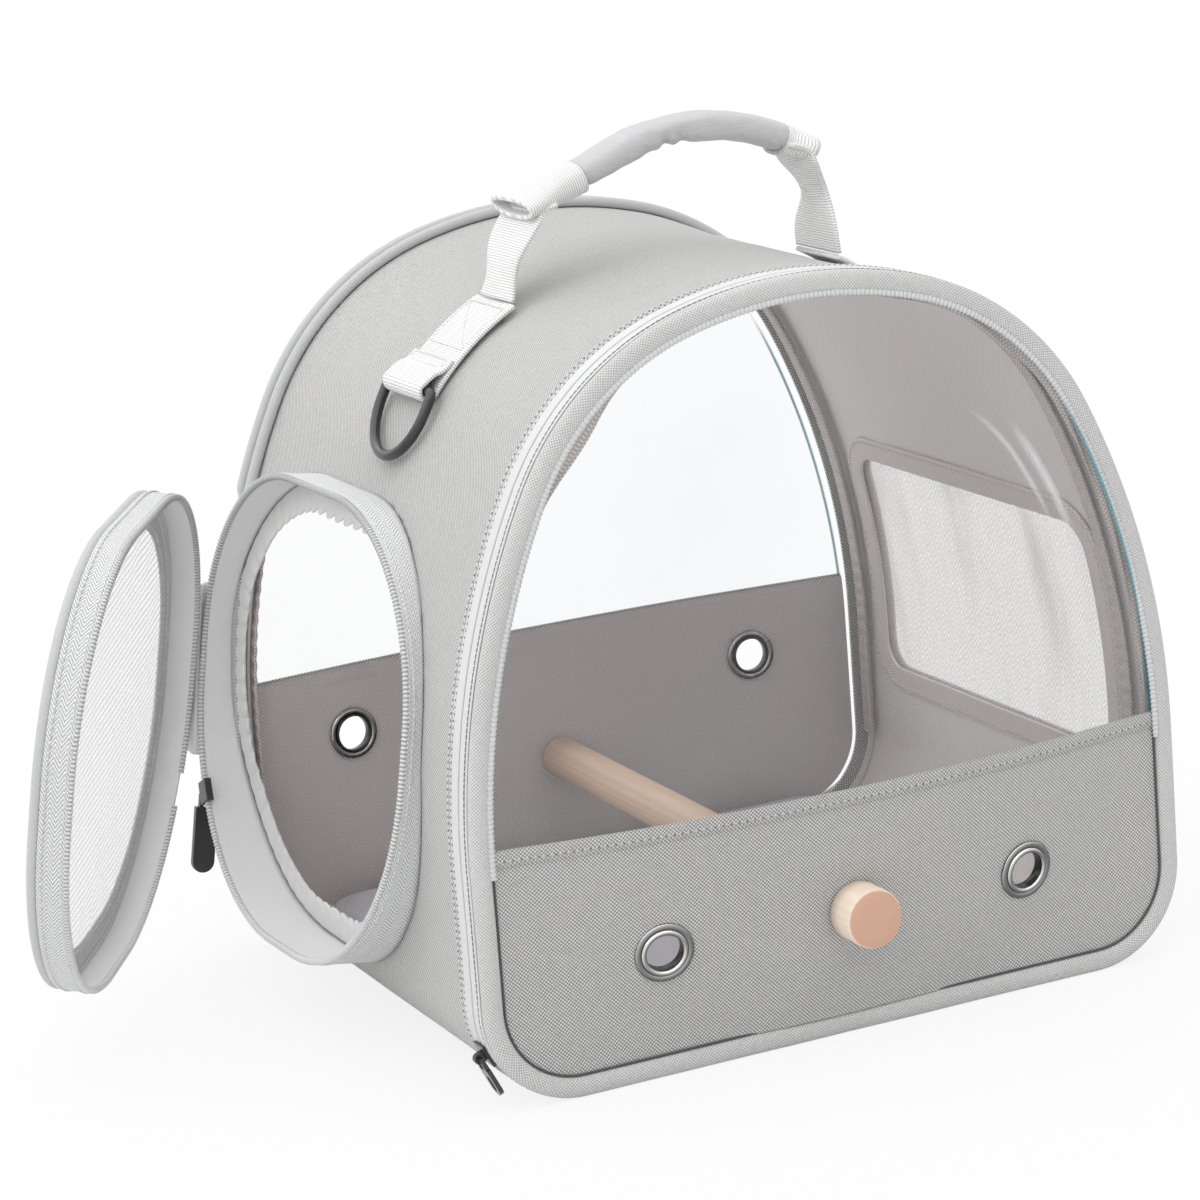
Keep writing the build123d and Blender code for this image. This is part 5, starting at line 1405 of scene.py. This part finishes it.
sleeve = addPiece("gripSleeve", mesh, gripCloth, "handle", ("grip_sleeve",), "oxford")
inflate(sleeve, voxel=3.0, travel=1.7)


# Crease: its place along the grip, half width, depth; they gather on the underside
def gripCreases(co, normal):
    x, y = co[:, 0], co[:, 1]
    crease = waves(x * 0.9 / 5.0, y / 9.0, 101, 0.5) + waves(x * 0.9 / 2.4, y / 7.0, 102, 0.22)
    under = np.clip(-normal[:, 2] + 0.35, 0, 1) * np.clip(0.5 - normal[:, 1], 0, 1)
    for at, wide, deep in grip["creases"]:
        crease = crease - deep * bell(x - 0.35 * y, at, wide) * under
    return co + normal * crease[:, None]


shape(sleeve, gripCreases)


# Webbing wrapped round the sleeve's end: a flat oval tube, open towards the leg, that narrows into the sleeve
def wrappedNeck(path, wide, thin, seed):
    rows = pathRows(path)
    run = rows[3]
    t, s = smoothStep(0.0, 0.85, run / run[-1])[:, None], run[:, None]
    turn = np.linspace(0, 2 * math.pi, 40, endpoint=False)
    high, side = squared(turn, 2.5)
    a = (thin[0] + (thin[1] - thin[0]) * t) / 2 * high + waves(s / 8.0, 3 * np.cos(turn), seed, 0.5)
    b = (wide[0] + (wide[1] - wide[0]) * t) / 2 * side + waves(s / 9.0, 3 * np.sin(turn), seed + 5, 0.5)
    return gridMesh(swept(rows, a, b), flatMap(run, turn * 12.0), False, True)


# Pinch: where along a leg its webbing turns over, how far that reaches, and the width left
necks = {
    "Left": {"side": -1, "head": (-60.5, 327.0), "corner": (-64.5, 329.6), "toward": (-34.0, 339.0),
             "reach": 31.0, "wide": (37.0, 21.0), "thin": (7.5, 12.0), "keep": 0.34,
             "pinch": (9.0, 13.0, 0.70), "seed": 111},
    "Right": {"side": 1, "head": (67.2, 335.4), "corner": (69.6, 338.6), "toward": (18.0, 360.5),
              "reach": 12.0, "wide": (35.0, 21.0), "thin": (9.0, 12.0), "keep": 0.47,
              "pinch": (25.0, 11.0, 0.58), "seed": 112},
}
legPath = {"angle": 62.0, "foot": 294.2, "drop": (0, 2.0), "rise": (0, 1.6), "ahead": 2.6, "end": 7.0}
for name, n in necks.items():
    corner, head = np.array(n["corner"]), np.array(n["head"])
    ahead = unit(np.array(n["toward"]) - corner)
    line = corner + np.linspace(0, n["reach"], 5)[:, None] * ahead
    path = throughPoints(standing(line, grip["y"]), 1.1)
    neck = addPiece("gripNeck" + name, wrappedNeck(path, n["wide"], n["thin"], n["seed"]), webbing, "handle",
                    ("grip_webbing",) if n["side"] < 0 else (), "webbing", recalc=False)
    thicken(neck, 1.8, 0.0)
    bottom = np.array([shoulderPoint(legPath["angle"], strap["laid"], n["side"])[0], legPath["foot"]])
    bow = np.array([head[0] * 0.3 + bottom[0] * 0.7, (bottom[1] + head[1]) / 2])
    bend = head + legPath["ahead"] * ahead + legPath["rise"]
    line = np.stack([bottom, bow, head - legPath["drop"], bend, bend + legPath["end"] * ahead])
    path = throughPoints(standing(line, strap["y"]), 1.1)
    run = spacing(path)
    at, far, narrow = n["pinch"]
    widths = 1 - (1 - narrow) * bell(run, at, far)
    widths = widths * (1 - 0.10 * smoothStep(run[-1] - 14.0, run[-1] - 6.0, run))
    mesh = webStrip(path, n["seed"] + 4, 0.3, widths, curl=4.0)
    leg = addPiece("handleLeg" + name, mesh, webbing, "cabin", ("handle_leg_" + name.lower(),), "webbing")
    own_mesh(leg)
print("handle")

# Floor pad: rounded slab, inflated, then a sewn groove near its edge
mat = {"halfX": 128.0, "halfY": 125.5, "corner": 16.0, "low": 6.6, "high": 17.6, "groove": 7.0, "pull": 1.6}
matShape = oblong(mat["halfX"], mat["halfY"], mat["corner"], mat["corner"])
matHalf = halfLength(matShape)
x, y, nx, ny = (row[:, None] for row in trace(matShape, np.linspace(0, 2 * matHalf, 200, endpoint=False)))
shrink = np.linspace(0.06, 1, 24)[:-1]
scale = np.r_[0, shrink, np.ones(5), shrink[::-1], 0]
pullIn = np.r_[np.full(25, mat["pull"]), 0.4, 0.0, 0.4, np.full(25, mat["pull"])]
level = np.r_[np.zeros(25), 0.12, 0.5, 0.88, np.ones(25)]
low, high = mat["low"] + 1.0, mat["high"] - 1.3
z = np.broadcast_to(low + (high - low) * level, (200, len(level)))
points = np.stack([(x - nx * pullIn) * scale, (y - ny * pullIn) * scale, z], -1)
pad = addPiece("floorMat", gridMesh(points, None, True, False), padCloth, "mat", ("floor_mat",), "pad")
inflate(pad, voxel=4.5, travel=2.2)


# Signed distance from the pad's rounded outline
def matDistance(x, y):
    qx, qy = np.abs(x) - (mat["halfX"] - mat["corner"]), np.abs(y) - (mat["halfY"] - mat["corner"])
    return np.hypot(np.maximum(qx, 0), np.maximum(qy, 0)) + np.minimum(np.maximum(qx, qy), 0) - mat["corner"]


def sewn(co, normal):
    upward = np.clip(normal[:, 2], 0, 1)
    dip = bell(matDistance(co[:, 0], co[:, 1]), -mat["groove"], 2.2) * 1.5 * upward
    swell = waves(co[:, 0] / 26.0, co[:, 1] / 26.0, 121, 0.55) * upward
    return np.column_stack([co[:, :2], np.clip(co[:, 2] + swell - dip, mat["low"], mat["high"])])


shape(pad, sewn)
co = vectors(pad.data.vertices, "co") * 1000.0
topSide = co[co[:, 2] > (mat["low"] + mat["high"]) / 2]
x, y = trace(matShape, np.linspace(0, 2 * matHalf, 360, endpoint=False), -mat["groove"])[:2]
near = ((x[:, None] - topSide[:, 0]) ** 2 + (y[:, None] - topSide[:, 1]) ** 2).argmin(1)
line = np.stack([x, y, topSide[near, 2] + 0.15], -1)
sew("stitchMat", line, [0, 0, 1.0], (4.2, 3.0, 0.8), threadPale, "mat", "pad", closed=True)
print("floor mat")

# Perch: a turned dowel with a screw hole behind, and the knob outside the front band
perch = {
    "z": 54.0, "radius": 9.0, "front": -138.35, "rear": 134.35, "edge": 0.8, "socket": (5.2, 12.0),
    "hole": (2.1, 20.0), "knobRadius": 12.0, "knobRear": -143.86, "knobLength": 15.0,
}
r, first, last, edge = (perch[key] for key in ("radius", "front", "rear", "edge"))
(socket, socketDepth), (hole, holeDepth) = perch["socket"], perch["hole"]
dowel = [(0.001, first + socketDepth), (socket, first + socketDepth), (socket, first), (r - edge, first),
         (r, first + edge), (r, -60.0), (r, 0.0), (r, 60.0), (r, last - edge), (r - edge, last), (hole, last),
         (hole, last - holeDepth), (0.001, last - holeDepth)]
r, back = perch["knobRadius"], perch["knobRear"]
face = back - perch["knobLength"]
knob = [(0.001, back), (r, back), (r, back - 6.0), (r, face + 1.2), (r - 0.35, face + 0.4), (r - 1.2, face),
        (r * 0.5, face - 0.05), (0.001, face - 0.05)]
axis = squarePlane((0, 0, perch["z"]), sideways)
dowelWood, knobWood = woodMaterial("dowelWood", perch["z"]), woodMaterial("knobWood", perch["z"], face)
addPiece("perchDowel", lathe(axis, dowel, 64), dowelWood, "cabin", ("perch",), "wood")
addPiece("perchKnob", lathe(axis, knob, 64), knobWood, "knob", ("perch_knob",), "wood")

# CAD nodes that keep their own shape
finishes = {
    boardDark: ("base_board",), steel: ("front_hoop", "rear_hoop", "perch_screw", "perch_washer"),
    woodMaterial("pegWood", perch["z"]): ("perch_peg",),
    black: ("front_zip_slider", "front_zip_pull", "door_zip_slider", "door_zip_pull"),
}
for material, names in finishes.items():
    for name in names:
        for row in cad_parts[name].material_slots:
            row.material = material


# Floor, backdrop and light: what the camera sees straight, through glass or in gloss is lit differently
def seenRays(paint):
    rays = paint.add("ShaderNodeLightPath").socket.node.outputs
    seen = [Flow(paint, rays["Is " + kind + " Ray"]) for kind in ("Camera", "Transmission", "Glossy")]
    return seen[0].most(seen[1]).most(seen[2])


stageFloor = Paint("studioFloor")
shade = stageFloor.add("ShaderNodeBsdfDiffuse", {"Color": (0.82, 0.82, 0.82)})
glow = stageFloor.add("ShaderNodeEmission", {"Color": (1.0, 1.0, 1.0), "Strength": 1.0})
stageFloor.close(stageFloor.add("ShaderNodeMixShader", [seenRays(stageFloor) * 0.84, shade, glow]))
x, y = np.meshgrid(np.linspace(-5000, 5000, 3), np.linspace(-5000, 7000, 3), indexing="ij")
floor = addObject("studioFloor", gridMesh(np.stack([x, y, 0 * x - 0.2], -1)))
floor.data.materials.append(stageFloor.material)

world = bpy.data.worlds.new("studio")
bpy.context.scene.world = world
sky = Paint("studio", world, "ShaderNodeOutputWorld")
white = (1.0, 1.0, 1.0)
glows = [sky.add("ShaderNodeBackground", {"Color": white, "Strength": level}) for level in (0.5, 1.0)]
sky.close(sky.add("ShaderNodeMixShader", [seenRays(sky), *glows]))


def placeBy(thing, x, y, z, at):
    thing.matrix_world = Matrix(np.vstack([np.stack([x, y, z, at], 1), [0, 0, 0, 1]]).tolist())


# Soft suns, so that the floor and the object are lit evenly wherever they stand
suns = {"topSun": ((-0.25, 0.05, 0.95), 2.3, 120.0), "leftSun": ((-0.75, -0.25, 0.60), 0.3, 80.0)}
for name, (toward, strength, spreadAngle) in suns.items():
    light = bpy.data.lights.new(name, "SUN")
    light.energy, light.angle = strength, math.radians(spreadAngle)
    away = unit(toward)
    side = unit(np.cross(sideways, away))
    placeBy(addObject(name, light), side, np.cross(away, side), away, 2 * away)

view = {
    "spot": (-713.0, -1482.3, 559.7), "ahead": (0.4166, 0.8871, -0.1988), "right": (0.8963, -0.4373, -0.0729),
    "lens": 120.2, "shiftX": -0.0234, "shiftY": -0.1384,
}
lens = bpy.data.cameras.new("view")
lens.lens, lens.sensor_width = view["lens"], 36.0
lens.shift_x, lens.shift_y = view["shiftX"], view["shiftY"]
camera = addObject("view", lens)
ahead = unit(view["ahead"])
right = unit(np.array(view["right"]) - np.dot(view["right"], ahead) * ahead)
placeBy(camera, right, np.cross(right, ahead), -ahead, np.array(view["spot"]) * mm)
bpy.context.scene.camera = camera
bpy.context.scene.view_settings.view_transform = "Standard"

print("done")
